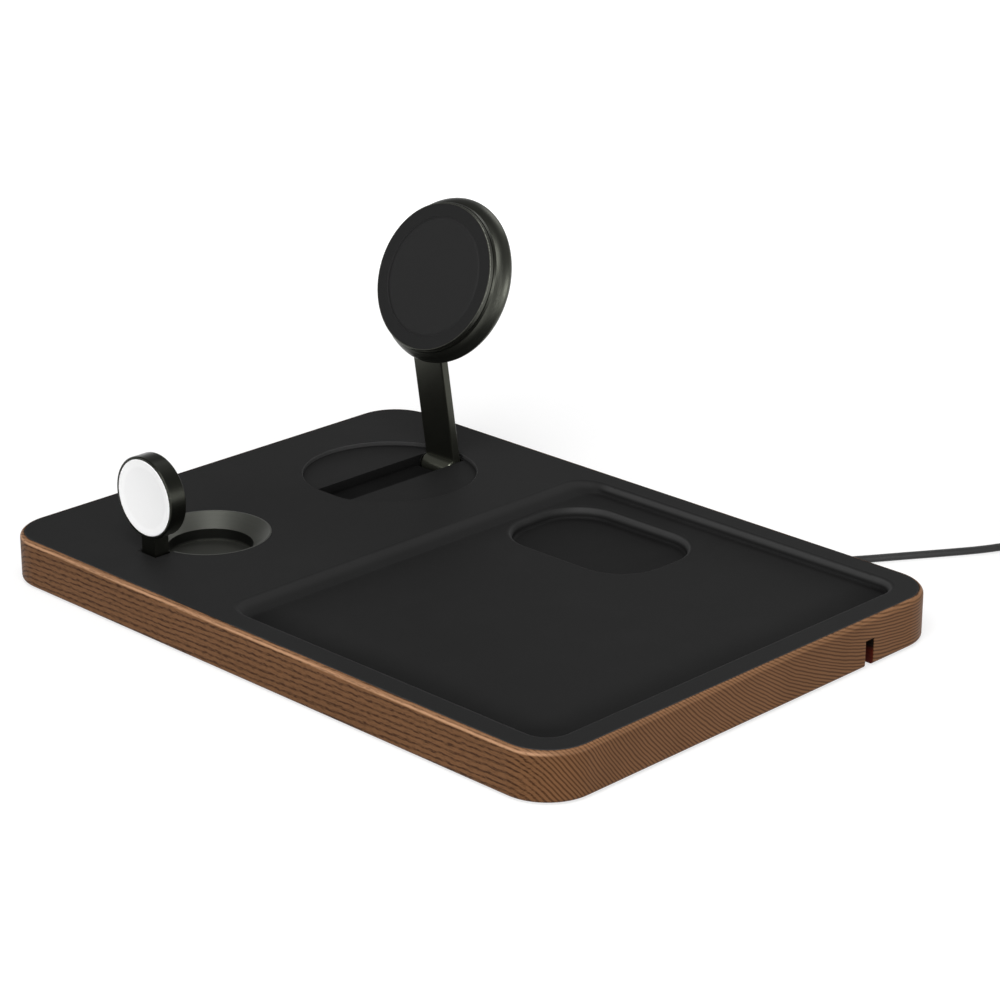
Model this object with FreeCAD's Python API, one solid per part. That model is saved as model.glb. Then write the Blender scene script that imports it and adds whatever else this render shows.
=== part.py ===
"""Charging station organizer: a wooden tray with a soft black top, a fold-up phone disc and a flip-up watch puck.

The floor is z = 0, the tray's middle is the origin, +X runs along the tray's long side and +Y to its back.
Lengths are millimetres and angles are degrees. The solids stand as in use: arm up, disc facing the user, puck up.
"""

import FreeCAD
import Part

import math
import os

V = FreeCAD.Vector
X_AXIS = V(1, 0, 0)
Y_AXIS = V(0, 1, 0)
Z_AXIS = V(0, 0, 1)

# Cuts run past the faces they open, and edges are picked by their level within a tolerance
overrun = 1.0
pick_tolerance = 0.001

# The most of a recess's depth that the rounds at its rim and its foot take
rim_round_share = 0.66
foot_round_share = 0.3

# Wooden base
tray_length = 270.0
tray_width = 193.8
tray_height = 17.4
tray_corner = 17.7
foot_stand = 0.6
top_round = 2.1
bottom_round = 1.4
wood_lip = 1.4
wood_wall = 8.0
cover_ledge = 4.0
notch_width = 4.4
notch_height = 9.7
notch_from_back = 40.1
outlet_from_earbud = 45.15

# Soft black top panel
panel_thick = 2.4
panel_gap = 0.15
panel_edge_round = 0.5
panel_skin = 2.0
boss_radius = 3.2
boss_inset = 15.9
boss_from_edge = 99.0
boss_from_outlet = 17.0
boss_side_from_back = 62.9

# Tray recess beside the chargers
divider_width = 21.9
recess_margin = 9.1
recess_depth = 3.6
recess_corner = 10.0
recess_rim_round = 2.3
recess_floor_round = 1.0
recess_slope_run = 6.5

# Earbud recess in the tray's floor
earbud_length = 67.5
earbud_width = 47.8
earbud_depth = 4.0
earbud_skin = 1.2
earbud_corner = 19.0
earbud_from_divider = 8.3
earbud_from_back = 11.9
earbud_rim_round = 2.0
earbud_floor_round = 1.0

# Phone station: the arm's hinge, the arm and the slot that it folds into
station_from_left = 55.5
arm_hinge_from_back = 29.3
arm_hinge_depth = 5.0
arm_lean = 8.7
arm_width = 15.0
arm_thick = 3.6
arm_set_back = -0.1
arm_edge_round = 0.5
barrel_radius = 3.8
barrel_end_round = 1.2
arm_reach = 50.1
pivot_set_back = 3.75
slot_clearance = 0.45
slot_side_gap = 0.7
slot_end_gap = 1.25
hinge_clearance = 0.6
slot_floor_gap = 0.65
station_thick = 4.6
disc_recess_radius = 32.4
disc_recess_depth = 1.8
disc_recess_round = 0.4
cradle_wall = 2.4
flange_width = 6.0
flange_thick = 1.6
flange_end_gap = 6.0
arm_pin_radius = 1.5
washer_thick = 0.55
washer_radius = 3.4
pin_clearance = 0.05

# Phone charging disc
disc_tilt = 23.6
pivot_drop = 23.5
pivot_behind_face = 9.8
disc_face_radius = 27.9
disc_rim_width = 0.5
disc_rim_depth = 1.6
disc_rim_round = 0.3
disc_ledge_width = 1.1
pad_thick = 1.0
pad_clearance = 0.05
pad_step_radius = 22.5
pad_step_depth = 0.25
disc_neck_radius = 27.5
disc_neck_length = 0.25
disc_shoulder_radius = 28.1
disc_land_radius = 28.4
disc_land_length = 1.0
disc_flare_radius = 31.1
disc_flare_behind_face = 6.8
disc_flare_bulge = 0.3
disc_outer_radius = 31.2
disc_outer_behind_face = 7.4
disc_back_radius = 29.9
disc_thick = 9.4
cavity_depth = 3.6
pocket_clearance = 0.4
coil_thick = 1.0
disc_coil_inner = 8.0
disc_coil_outer = 20.4
ferrite_thick = 0.7
disc_board_radius = 20.0
disc_board_thick = 0.9
magnet_count = 18
magnet_inner = 21.4
magnet_outer = 25.0
magnet_thick = 1.6
magnet_gap = 0.6

# Disc hinge
lug_width = 6.0
lug_clearance = 0.2
lug_radius = 2.6
lug_tenon = 1.5
disc_pin_radius = 1.2

# Watch charging puck and its well
well_from_front = 50.5
well_rim_radius = 21.1
well_rim_width = 0.6
well_gap = 0.1
well_bore_radius = 15.2
well_cone_depth = 4.6
well_depth = 9.0
well_wall = 1.2
well_flange_width = 3.4
well_flange_thick = 1.2
puck_radius = 14.8
puck_thick = 6.9
puck_front_set = 4.25
puck_proud = 0.2
puck_reach = 24.8
puck_edge_round = 0.5
puck_rim_width = 0.95
puck_face_thick = 1.6
puck_face_dish = 0.8
puck_cavity_wall = 2.2
puck_coil_inner = 3.5
puck_coil_gap = 1.4
puck_magnet_radius = 6.0
puck_magnet_thick = 2.5
neck_width = 7.2
neck_thick = 6.0
neck_clearance = 1.6
neck_end_gap = 1.3
cheek_thick = 2.4
watch_pin_radius = 1.0

# Underside and electronics
cover_thick = 1.6
cover_recess = 0.8
cover_gap = 0.2
cover_screw_radius = 1.2
cover_head_radius = 2.4
cover_head_height = 0.8
cover_screw_bite = 6.0
cover_tip_gap = 1.0
foot_radius = 6.0
foot_round = 0.4
foot_inset = 24.0
bay_wall = 1.2
bay_ceiling = 10.0
bay_width = 18.5
bay_front_from_back = 54.9
channel_width = 9.2
standoff_height = 0.6
standoff_radius = 2.4
board_length = 92.0
board_depth = 48.0
board_thick = 1.4
board_corner = 2.0
board_from_outlet = 14.0
board_hole_inset = 4.0
board_screw_radius = 0.9
board_head_radius = 1.7
board_head_height = 0.9
earbud_coil_inner = 4.0
earbud_coil_outer = 18.0
earbud_ferrite_radius = 20.0
shield_side = 14.0
shield_height = 2.2
inductor_side = 7.3
inductor_height = 3.2
inductor_round = 1.2
capacitor_radius = 2.2
capacitor_height = 3.4
shield_place_shares = [(0.22, 0.30), (0.55, 0.30)]
inductor_place_shares = [(0.22, 0.66), (0.42, 0.66), (0.62, 0.66), (0.78, 0.30)]
capacitor_place_shares = [(0.08, 0.40), (0.08, 0.60), (0.90, 0.30), (0.90, 0.46)]

# Socket and plug
socket_width = 8.94
socket_height = 3.26
socket_length = 7.35
socket_wall = 0.27
socket_floor = 0.6
socket_wall_gap = 0.2
tip_width = 8.25
tip_height = 2.4
tip_length = 6.5
grip_width = 11.0
grip_height = 5.8
grip_length = 19.0
grip_round = 1.6
relief_length = 8.0
relief_wall = 0.7
plug_gap = 0.3

# Cable
cable_diameter = 2.8
coil_pitch = 3.3
coil_layer_height = 3.25
coil_climb_room = 0.6
coil_outer_radius = 21.1
coil_half_turns = (6, 6, 6, 5)
tie_width = 9.0
tie_thick = 0.7
tie_round = 2.0
tie_clearance = 0.35
tie_turn = 265.0
tail_first_run = 8.0
floor_clearance = 0.02
arc_run_share = 0.45
gap_skip_share = 2.0

# Levels that several pieces share
tray_bottom = foot_stand
tray_top = tray_bottom + tray_height
panel_seat = tray_top - panel_thick
recess_floor = tray_top - recess_depth
station_under = tray_top - station_thick
earbud_floor = recess_floor - earbud_depth
earbud_under = earbud_floor - earbud_skin
disc_floor = tray_top - disc_recess_depth
cover_under = tray_bottom + cover_recess
cover_top = cover_under + cover_thick
board_under = cover_top + standoff_height
board_top = board_under + board_thick
socket_middle = board_top + socket_height / 2

# Places that several pieces share
tray_right = tray_length / 2
tray_back = tray_width / 2
station_x = station_from_left - tray_right
arm_hinge = V(station_x, tray_back - arm_hinge_from_back, tray_top - arm_hinge_depth)
slot_width = arm_width + 2 * slot_side_gap
knuckle_radius = pivot_set_back - arm_set_back
disc_recess_y = arm_hinge.y - arm_reach + pivot_drop
slot_front = arm_hinge.y - arm_reach - knuckle_radius - slot_end_gap
slot_back = arm_hinge.y + barrel_radius + slot_clearance
slot_floor = arm_hinge.z + arm_set_back - slot_floor_gap
recess_left = station_x + disc_recess_radius + divider_width
recess_right = tray_right - recess_margin
recess_back = tray_back - recess_margin
notch_y = tray_back - notch_from_back
well_y = well_from_front - tray_back
watch_hinge = V(station_x, well_y - puck_reach, tray_top + puck_proud - puck_front_set)
cut_out_width = neck_width + 2 * neck_clearance
cut_out_front = watch_hinge.y - neck_thick / 2 - neck_end_gap
earbud_x = recess_left + earbud_from_divider + earbud_length / 2
earbud_y = recess_back - earbud_from_back - earbud_width / 2
outlet_x = earbud_x + outlet_from_earbud
bay_front = tray_back - bay_front_from_back
cable_radius = cable_diameter / 2
floor_line = cable_radius + floor_clearance
coil_line = floor_line + tie_thick + tie_clearance
plug_line = grip_height / 2 + floor_clearance

# The cable's route: level out of the plug, down through the back notch, then along the floor to the coil
lead_route = [
    V(outlet_x, bay_front + plug_gap + grip_length + relief_length, socket_middle),
    V(outlet_x, 79.0, socket_middle),
    V(62.05, 89.0, 5.5),
    V(62.3, 99.5, 3.1),
    V(64.4, 110.0, floor_line),
    V(69.8, 120.2, floor_line),
    V(76.7, 130.1, floor_line),
    V(83.9, 141.1, floor_line),
    V(93.0, 154.6, floor_line),
    V(101.8, 168.3, floor_line),
    V(109.9, 182.4, coil_line),
    V(116.2, 196.4, coil_line),
]

# The tail's places round the coil: distance from its middle, turn past the coil's end and height
tail_places = [
    (25.2, 55.0, 11.6),
    (28.6, 78.0, 9.4),
    (30.6, 100.0, 6.4),
    (31.2, 122.0, 4.0),
    (31.4, 144.0, plug_line),
    (31.4, 166.0, plug_line),
]

# The arm's own directions, and the disc's: along the arm, behind it, up the disc and out of its face
lean = math.radians(arm_lean)
tilt = math.radians(disc_tilt)
arm_up = V(0, -math.sin(lean), math.cos(lean))
arm_rear = V(0, math.cos(lean), math.sin(lean))
disc_up = V(0, math.sin(tilt), math.cos(tilt))
disc_out = V(0, -math.cos(tilt), math.sin(tilt))
disc_pivot = arm_hinge + arm_up * arm_reach + arm_rear * pivot_set_back
disc_face = disc_pivot + disc_up * pivot_drop + disc_out * pivot_behind_face


def block(x0, x1, y0, y1, z0, z1):
    """Box between two corners."""
    return Part.makeBox(x1 - x0, y1 - y0, z1 - z0, V(x0, y0, z0))


def upright_edges(shape):
    """Edges that run straight up."""
    return [e for e in shape.Edges if e.BoundBox.XLength < pick_tolerance and e.BoundBox.YLength < pick_tolerance]


def level_edges(shape, z):
    """Edges that lie in the level plane at height z."""
    return [e for e in shape.Edges
            if e.BoundBox.ZLength < pick_tolerance and abs(e.BoundBox.ZMin - z) < pick_tolerance]


def rounded_block(x0, x1, y0, y1, z0, z1, corner):
    """Box with rounded upright corners."""
    box = block(x0, x1, y0, y1, z0, z1)
    return box.makeFillet(corner, upright_edges(box))


def rounded_bar(x0, x1, y0, y1, z0, z1, corner):
    """Box with its four edges along Y rounded."""
    box = block(x0, x1, y0, y1, z0, z1)
    return box.makeFillet(corner, [e for e in box.Edges if e.BoundBox.YLength > pick_tolerance])


def tray_outline(inset, z0, z1):
    """The tray's plan drawn in by an inset, between two heights."""
    x, y = tray_right - inset, tray_back - inset
    return rounded_block(-x, x, -y, y, z0, z1, tray_corner - inset)


def post(radius, x, y, z0, z1):
    """Upright cylinder."""
    return Part.makeCylinder(radius, z1 - z0, V(x, y, z0))


def rod(radius, half_length, centre):
    """Cylinder along X, its middle at centre."""
    return Part.makeCylinder(radius, 2 * half_length, centre - X_AXIS * half_length, X_AXIS)


def ring(inner, outer, x, y, z0, z1):
    """Upright tube with a square section."""
    return post(outer, x, y, z0, z1).cut(post(inner, x, y, z0 - overrun, z1 + overrun))


def turned(edges):
    """Solid of revolution about Z from the edges of a closed profile in the XZ plane."""
    return Part.Face(Part.Wire(edges)).revolve(V(), Z_AXIS, 360)


def polygon_edges(points):
    """Straight edges through points given as radius and height, closed."""
    corners = [V(r, 0, z) for r, z in points]
    return [Part.makeLine(a, b) for a, b in zip(corners, corners[1:] + corners[:1])]


def fuse_all(shapes):
    """One solid out of touching solids, with seams between flush faces removed."""
    joined = shapes[0].fuse(shapes[1:]) if len(shapes) > 1 else shapes[0]
    return joined.removeSplitter()


def on_disc(shape):
    """Move a shape modelled face up at the origin to the tilted disc, its top to the disc's upper edge."""
    placed = shape.copy()
    placed.rotate(V(), X_AXIS, 90 - disc_tilt)
    placed.translate(disc_face)
    return placed


def on_arm(shape):
    """Move a shape modelled upright, with the hinge at the origin, to the leaning arm."""
    placed = shape.copy()
    placed.rotate(V(), X_AXIS, arm_lean)
    placed.translate(arm_hinge)
    return placed


def on_puck(shape):
    """Move a shape modelled face up at the origin to the standing watch puck."""
    placed = shape.copy()
    placed.rotate(V(), X_AXIS, 90)
    placed.translate(puck_middle())
    return placed


def puck_middle():
    """Middle of the watch puck's face."""
    return watch_hinge - Y_AXIS * puck_front_set + Z_AXIS * puck_reach


def notch_cutters(depth, height):
    """Slots for the cable through the right wall and the back wall, open at the bottom."""
    half = notch_width / 2
    low = -overrun
    right = block(tray_right - depth, tray_right + overrun, notch_y - half, notch_y + half, low, height)
    rear = block(outlet_x - half, outlet_x + half, tray_back - depth, tray_back + overrun, low, height)
    return [right, rear]


def make_wood_base():
    """Frame milled from one board: a lip round the panel, a ledge under it and a rabbet for the cover."""
    body = tray_outline(0, tray_bottom, tray_top)
    body = body.makeFillet(top_round, level_edges(body, tray_top))
    body = body.makeFillet(bottom_round, level_edges(body, tray_bottom))
    cuts = [tray_outline(wood_lip, panel_seat, tray_top + overrun),
            tray_outline(wood_wall, tray_bottom - overrun, tray_top + overrun),
            tray_outline(cover_ledge, tray_bottom - overrun, cover_top)]
    cuts += notch_cutters(wood_wall + overrun, tray_bottom + notch_height)
    return body.cut(cuts)


def boss_places():
    """Screw bosses round the underside, clear of the chargers and the cable bay."""
    x, y = tray_right - boss_inset, tray_back - boss_inset
    left_mid = boss_from_edge - tray_right
    right_mid = outlet_x - boss_from_outlet
    corners = [(-x, -y), (-x, y), (x, -y), (x, tray_back - boss_side_from_back)]
    return corners + [(left_mid, -y), (left_mid, y), (right_mid, -y), (right_mid, y)]


def plan_wire(x0, x1, y0, y1, z, corner):
    """Outline of a rounded rectangle at height z."""
    slab = rounded_block(x0, x1, y0, y1, z, z + overrun, corner)
    return Part.Wire(Part.__sortEdges__(level_edges(slab, z)))


def recess_cutter(x0, x1, y0, y1, floor, top, corner, floor_round, slope_run):
    """Soft-edged pocket: upright walls, the left one sloped by a run, and a rounded foot."""
    if slope_run:
        rise = slope_run * overrun / (top - floor)
        foot = plan_wire(x0 + slope_run, x1, y0, y1, floor, corner)
        mouth = plan_wire(x0 - rise, x1, y0, y1, top + overrun, corner)
        cutter = Part.makeLoft([foot, mouth], True, True)
    else:
        cutter = rounded_block(x0, x1, y0, y1, floor, top + overrun, corner)
    return cutter.makeFillet(floor_round, level_edges(cutter, floor))


def rim_edges(shape, z, x0, x1, y0, y1):
    """Level edges at height z that lie within a rectangle in plan."""
    found = []
    for edge in level_edges(shape, z):
        box = edge.BoundBox
        inside_x = box.XMin > x0 - pick_tolerance and box.XMax < x1 + pick_tolerance
        inside_y = box.YMin > y0 - pick_tolerance and box.YMax < y1 + pick_tolerance
        if inside_x and inside_y:
            found.append(edge)
    return found


def sunk_recess(panel, bounds, floor, top, skin, corner, floor_round, rim_round, slope_run):
    """Sink a soft-edged recess, given by its bounds at the rim's outer edge, into the panel."""
    x0, x1, y0, y1 = bounds
    rim_round = min(rim_round, rim_round_share * (top - floor))
    floor_round = min(floor_round, foot_round_share * (top - floor))
    left_round = rim_round * math.tan(math.atan2(top - floor, slope_run) / 2)
    inner = (x0 + left_round, x1 - rim_round, y0 + rim_round, y1 - rim_round)
    wall = (inner[0] - skin, inner[1] + skin, inner[2] - skin, inner[3] + skin)
    bulge = rounded_block(*wall, floor - skin, top, corner - rim_round + skin)
    panel = fuse_all([panel, bulge])
    panel = panel.cut(recess_cutter(*inner, floor, top, corner - rim_round, floor_round, slope_run))
    return panel.makeFillet(rim_round, rim_edges(panel, top, *inner))


def make_top_panel():
    """Moulded soft-touch top with its recesses, the arm's slot, the well's hole and screw bosses below."""
    inset = wood_lip + panel_gap
    panel = tray_outline(inset, panel_seat, tray_top)
    panel = panel.makeFillet(panel_edge_round, level_edges(panel, tray_top))
    root = panel_seat + panel_thick / 2
    added = [post(disc_recess_radius + panel_skin, station_x, disc_recess_y, station_under, root)]
    added += [post(boss_radius, x, y, cover_top, root) for x, y in boss_places()]
    panel = fuse_all([panel] + added)
    tray_bounds = (recess_left, recess_right, -recess_back, recess_back)
    panel = sunk_recess(panel, tray_bounds, recess_floor, tray_top, panel_skin,
                        recess_corner, recess_floor_round, recess_rim_round, recess_slope_run)
    half_x, half_y = earbud_length / 2, earbud_width / 2
    earbud_bounds = (earbud_x - half_x, earbud_x + half_x, earbud_y - half_y, earbud_y + half_y)
    panel = sunk_recess(panel, earbud_bounds, earbud_floor, recess_floor, earbud_skin,
                        earbud_corner, earbud_floor_round, earbud_rim_round, 0)
    panel = panel.cut(post(disc_recess_radius, station_x, disc_recess_y, disc_floor, tray_top + overrun))
    disc_rim = [e for e in level_edges(panel, tray_top)
                if abs(e.BoundBox.XLength - 2 * disc_recess_radius) < pick_tolerance]
    panel = panel.makeFillet(disc_recess_round, disc_rim)
    half = slot_width / 2
    low, high = station_under - overrun, tray_top + overrun
    cuts = [block(station_x - half, station_x + half, slot_front, slot_back, low, high),
            rod(arm_pin_radius + pin_clearance, half + cradle_wall + pin_clearance, arm_hinge),
            post(well_rim_radius + well_rim_width + well_gap, station_x, well_y, low, high),
            block(station_x - cut_out_width / 2, station_x + cut_out_width / 2, cut_out_front, well_y, low, high)]
    cuts += [post(cover_screw_radius, x, y, cover_top - overrun, cover_top + cover_screw_bite)
             for x, y in boss_places()]
    cuts += [post(board_screw_radius, x, y, station_under - overrun, station_under + flange_thick)
             for x, y in flange_places()]
    return panel.cut(cuts)


def flange_places():
    """Screws that hold the arm's cradle up against the panel."""
    x = slot_width / 2 + cradle_wall + flange_width / 2
    front = slot_front + flange_end_gap + flange_width
    rear = arm_hinge.y - barrel_radius - hinge_clearance - flange_end_gap
    return [(station_x + side * x, y) for side in (-1, 1) for y in (front, rear)]


def make_arm_cradle():
    """Trough under the slot that takes the folded arm, with the hinge's cheeks at its back."""
    half = slot_width / 2
    outer = half + cradle_wall
    well = barrel_radius + hinge_clearance
    rear = arm_hinge.y + well
    pit = arm_hinge.z - well
    solids = [block(station_x - outer, station_x + outer, slot_front - cradle_wall, rear + cradle_wall,
                    slot_floor - cradle_wall, station_under),
              block(station_x - outer, station_x + outer, arm_hinge.y - well - cradle_wall, rear + cradle_wall,
                    pit - cradle_wall, station_under)]
    places = flange_places()
    ears = flange_width / 2
    for x, y in places:
        inward = x - math.copysign(ears, x - station_x)
        low, high = sorted((inward, x))
        solids.append(post(ears, x, y, station_under - flange_thick, station_under))
        solids.append(block(low, high, y - ears, y + ears, station_under - flange_thick, station_under))
    body = fuse_all(solids)
    cuts = [block(station_x - half, station_x + half, slot_front, rear, slot_floor, station_under + overrun),
            block(station_x - half, station_x + half, arm_hinge.y - well, rear, pit, station_under + overrun),
            rod(arm_pin_radius + pin_clearance, outer + overrun, arm_hinge)]
    cuts += [post(board_screw_radius, x, y, station_under - flange_thick - overrun, station_under + overrun)
             for x, y in places]
    return body.cut(cuts)


def screws(places, head_z, head_radius, head_height, shank_radius, shank_top):
    """Pan-head screws driven upwards, their heads below head_z."""
    solids = []
    for x, y in places:
        head = post(head_radius, x, y, head_z - head_height, head_z)
        solids.append(head.fuse(post(shank_radius, x, y, head_z, shank_top)).removeSplitter())
    return Part.makeCompound(solids)


def make_cradle_screws():
    """Four small screws through the cradle's ears into the panel."""
    shank = board_screw_radius - pin_clearance
    return screws(flange_places(), station_under - flange_thick, board_head_radius, board_head_height,
                  shank, station_under + flange_thick / 2)


def make_arm_hinge_pin():
    """Steel pin that the arm turns on, held in the cradle's cheeks."""
    return rod(arm_pin_radius, slot_width / 2 + cradle_wall, arm_hinge)


def make_arm_washers():
    """Friction washers between the barrel and the cheeks."""
    washers = []
    for side in (-1, 1):
        inner_face = arm_hinge + X_AXIS * side * (slot_width / 2 - washer_thick / 2)
        washer = rod(washer_radius, washer_thick / 2, inner_face)
        washers.append(washer.cut(rod(arm_pin_radius + pin_clearance, washer_thick, inner_face)))
    return Part.makeCompound(washers)


def make_phone_arm():
    """Flat arm with a round-ended hinge barrel at its foot and a fork at its head."""
    half = arm_width / 2
    barrel = rod(barrel_radius, half, V())
    barrel = barrel.makeFillet(barrel_end_round, [e for e in barrel.Edges if e.BoundBox.XLength < pick_tolerance])
    bar = block(-half, half, arm_set_back, arm_set_back + arm_thick, 0, arm_reach)
    bar = bar.makeFillet(arm_edge_round, upright_edges(bar))
    knuckle = rod(knuckle_radius, half, V(0, pivot_set_back, arm_reach))
    arm = fuse_all([barrel, bar, knuckle])
    fork = lug_width / 2 + lug_clearance
    throat = arm_reach - knuckle_radius - lug_clearance
    head = arm_reach + knuckle_radius + overrun
    cuts = [block(-fork, fork, -overrun, pivot_set_back + knuckle_radius + overrun, throat, head),
            rod(arm_pin_radius + pin_clearance, half + overrun, V()),
            rod(disc_pin_radius + pin_clearance, half + overrun, V(0, pivot_set_back, arm_reach))]
    return on_arm(arm.cut(cuts))


def disc_profile():
    """Half section of the disc's shell: neck, land, flared shoulder, rolled rim and flat back."""
    shoulder_z = -disc_rim_depth - disc_neck_length
    shoulder = V(disc_shoulder_radius, 0, shoulder_z)
    land = V(disc_land_radius, 0, shoulder_z - disc_land_length)
    flare = V(disc_flare_radius, 0, -disc_flare_behind_face)
    swell = (land + flare) * 0.5 + V(disc_flare_bulge, 0, disc_flare_bulge)
    widest = V(disc_outer_radius, 0, -disc_outer_behind_face)
    back = V(disc_back_radius, 0, -disc_thick)
    cavity = disc_face_radius - disc_rim_width - disc_ledge_width
    corners = [V(disc_neck_radius, 0, -disc_rim_depth), V(disc_neck_radius, 0, shoulder_z), shoulder, land]
    edges = [Part.makeLine(a, b) for a, b in zip(corners, corners[1:])]
    edges += [Part.Arc(land, swell, flare).toShape(), Part.Arc(flare, widest, back).toShape()]
    tail = [back, V(0, 0, -disc_thick), V(0, 0, -cavity_depth), V(cavity, 0, -cavity_depth),
            V(cavity, 0, -disc_rim_depth), corners[0]]
    return edges + [Part.makeLine(a, b) for a, b in zip(tail, tail[1:])]


def pocket_bounds():
    """The hinge pocket in the disc's back: half width, upper edge and floor, with the disc face up."""
    upper = -pivot_drop + knuckle_radius + pocket_clearance
    floor = -pivot_behind_face + knuckle_radius + pocket_clearance
    return slot_width / 2, upper, floor


def make_disc_shell():
    """Turned metal shell of the phone disc, with a pocket in its back for the arm's fork and the arm below it."""
    half, upper, floor = pocket_bounds()
    lower = -2 * pivot_drop - upper
    shell = turned(disc_profile())
    pocket = block(-half, half, lower, upper, -disc_thick - overrun, floor)
    shell = on_disc(shell.cut([pocket, lug_web(pin_clearance, floor - overrun)]))
    front, rear = arm_set_back - pocket_clearance, arm_set_back + arm_thick + disc_thick
    passage = block(-half, half, front, rear, arm_reach - disc_outer_radius, arm_reach)
    return shell.cut(on_arm(passage))


def make_disc_rim():
    """Polished ring round the charging face, with a ledge for the pad."""
    inner = disc_face_radius - disc_rim_width
    ledge = inner - disc_ledge_width
    profile = [(inner, 0), (disc_face_radius, 0), (disc_face_radius, -disc_rim_depth), (ledge, -disc_rim_depth),
               (ledge, -pad_thick), (inner, -pad_thick)]
    rim = turned(polygon_edges(profile))
    front = [e for e in level_edges(rim, 0) if abs(e.BoundBox.XLength - 2 * disc_face_radius) < pick_tolerance]
    return on_disc(rim.makeFillet(disc_rim_round, front))


def make_disc_pad():
    """Soft face of the phone disc: a raised outer band round a slightly sunk middle."""
    radius = disc_face_radius - disc_rim_width - pad_clearance
    profile = [(0, -pad_thick), (radius, -pad_thick), (radius, 0), (pad_step_radius + pad_step_depth, 0),
               (pad_step_radius, -pad_step_depth), (0, -pad_step_depth)]
    return on_disc(turned(polygon_edges(profile)))


def make_disc_coil():
    """Flat charging coil behind the pad."""
    return on_disc(ring(disc_coil_inner, disc_coil_outer, 0, 0, -pad_thick - coil_thick, -pad_thick))


def make_disc_ferrite():
    """Ferrite sheet behind the coil."""
    front = -pad_thick - coil_thick
    return on_disc(post(disc_coil_outer, 0, 0, front - ferrite_thick, front))


def make_disc_board():
    """Small round circuit board behind the ferrite, on the shell's floor."""
    return on_disc(post(disc_board_radius, 0, 0, -cavity_depth, -cavity_depth + disc_board_thick))


def make_disc_magnets():
    """Ring of magnets that holds the phone, with gaps between them."""
    band = ring(magnet_inner, magnet_outer, 0, 0, -pad_thick - magnet_thick, -pad_thick)
    half_gap = magnet_gap / 2
    spoke = block(0, magnet_outer + overrun, -half_gap, half_gap, -pad_thick - magnet_thick - overrun, overrun)
    spokes = []
    for i in range(magnet_count):
        turned_spoke = spoke.copy()
        turned_spoke.rotate(V(), Z_AXIS, 360 * i / magnet_count)
        spokes.append(turned_spoke)
    return on_disc(band.cut(spokes))


def lug_web(clearance, foot):
    """Web of the hinge lug and its tenon in the pocket's floor, with the disc face up."""
    _, _, floor = pocket_bounds()
    half = lug_width / 2 + clearance
    reach = lug_radius + clearance
    return block(-half, half, -pivot_drop - reach, -pivot_drop + reach, foot, floor + lug_tenon)


def make_disc_hinge_lug():
    """Hinge lug let into the disc's back: its eye sits between the fork's ears."""
    eye = V(0, -pivot_drop, -pivot_behind_face)
    lug = fuse_all([lug_web(0, eye.z), rod(lug_radius, lug_width / 2, eye)])
    return on_disc(lug.cut(rod(disc_pin_radius + pin_clearance, lug_width, eye)))


def make_disc_hinge_pin():
    """Pin through the fork and the disc's lug."""
    return rod(disc_pin_radius, arm_width / 2, disc_pivot)


def well_section():
    """Radii and heights of the watch well: its cone's slope and where the cone's back meets the bore's wall."""
    slope = (well_rim_radius - well_bore_radius) / well_cone_depth
    cone_foot = tray_top - well_cone_depth
    sideways = well_wall * math.hypot(1, slope)
    meet = cone_foot + (well_wall - sideways) / slope
    return slope, cone_foot, sideways, meet


def make_watch_well():
    """Turned cup that the watch puck folds into, with the hinge's cheeks at its front."""
    slope, cone_foot, sideways, meet = well_section()
    floor = tray_top - well_depth
    rim = well_rim_radius + well_rim_width
    flange_z = panel_seat - well_flange_thick
    neck = well_bore_radius + sideways + slope * (flange_z - cone_foot)
    outside = [(0, floor - well_wall), (well_bore_radius + well_wall, floor - well_wall),
               (well_bore_radius + well_wall, meet), (neck, flange_z), (rim + well_flange_width, flange_z),
               (rim + well_flange_width, panel_seat), (rim, panel_seat), (rim, tray_top), (0, tray_top)]
    mouth = well_rim_radius + slope * overrun
    inside = [(0, floor), (well_bore_radius, floor), (well_bore_radius, cone_foot),
              (mouth, tray_top + overrun), (0, tray_top + overrun)]
    cup, hollow = turned(polygon_edges(outside)), turned(polygon_edges(inside))
    for shape in (cup, hollow):
        shape.translate(V(station_x, well_y, 0))
    half = cut_out_width / 2
    front = cut_out_front - cheek_thick
    cheeks = block(station_x - half - cheek_thick, station_x + half + cheek_thick, front, well_y,
                   floor - well_wall, panel_seat)
    slot = block(station_x - half, station_x + half, cut_out_front, well_y,
                 watch_hinge.z - neck_thick / 2 - hinge_clearance, tray_top + overrun)
    bore = rod(watch_pin_radius + pin_clearance, half + cheek_thick + overrun, watch_hinge)
    return fuse_all([cup, cheeks]).cut([hollow, slot, bore])


def make_watch_hinge_pin():
    """Pin that the watch puck turns on."""
    return rod(watch_pin_radius, cut_out_width / 2 + cheek_thick, watch_hinge)


def puck_face_radius():
    """Radius of the white face inside the puck's rim."""
    return puck_radius - puck_rim_width - pad_clearance


def puck_layers():
    """Depths behind the puck's face: back of the face, of the coil, of the ferrite and of the magnet."""
    depths = [-puck_face_thick]
    for thick in (coil_thick, ferrite_thick, puck_magnet_thick):
        depths.append(depths[-1] - thick)
    return depths


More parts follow.
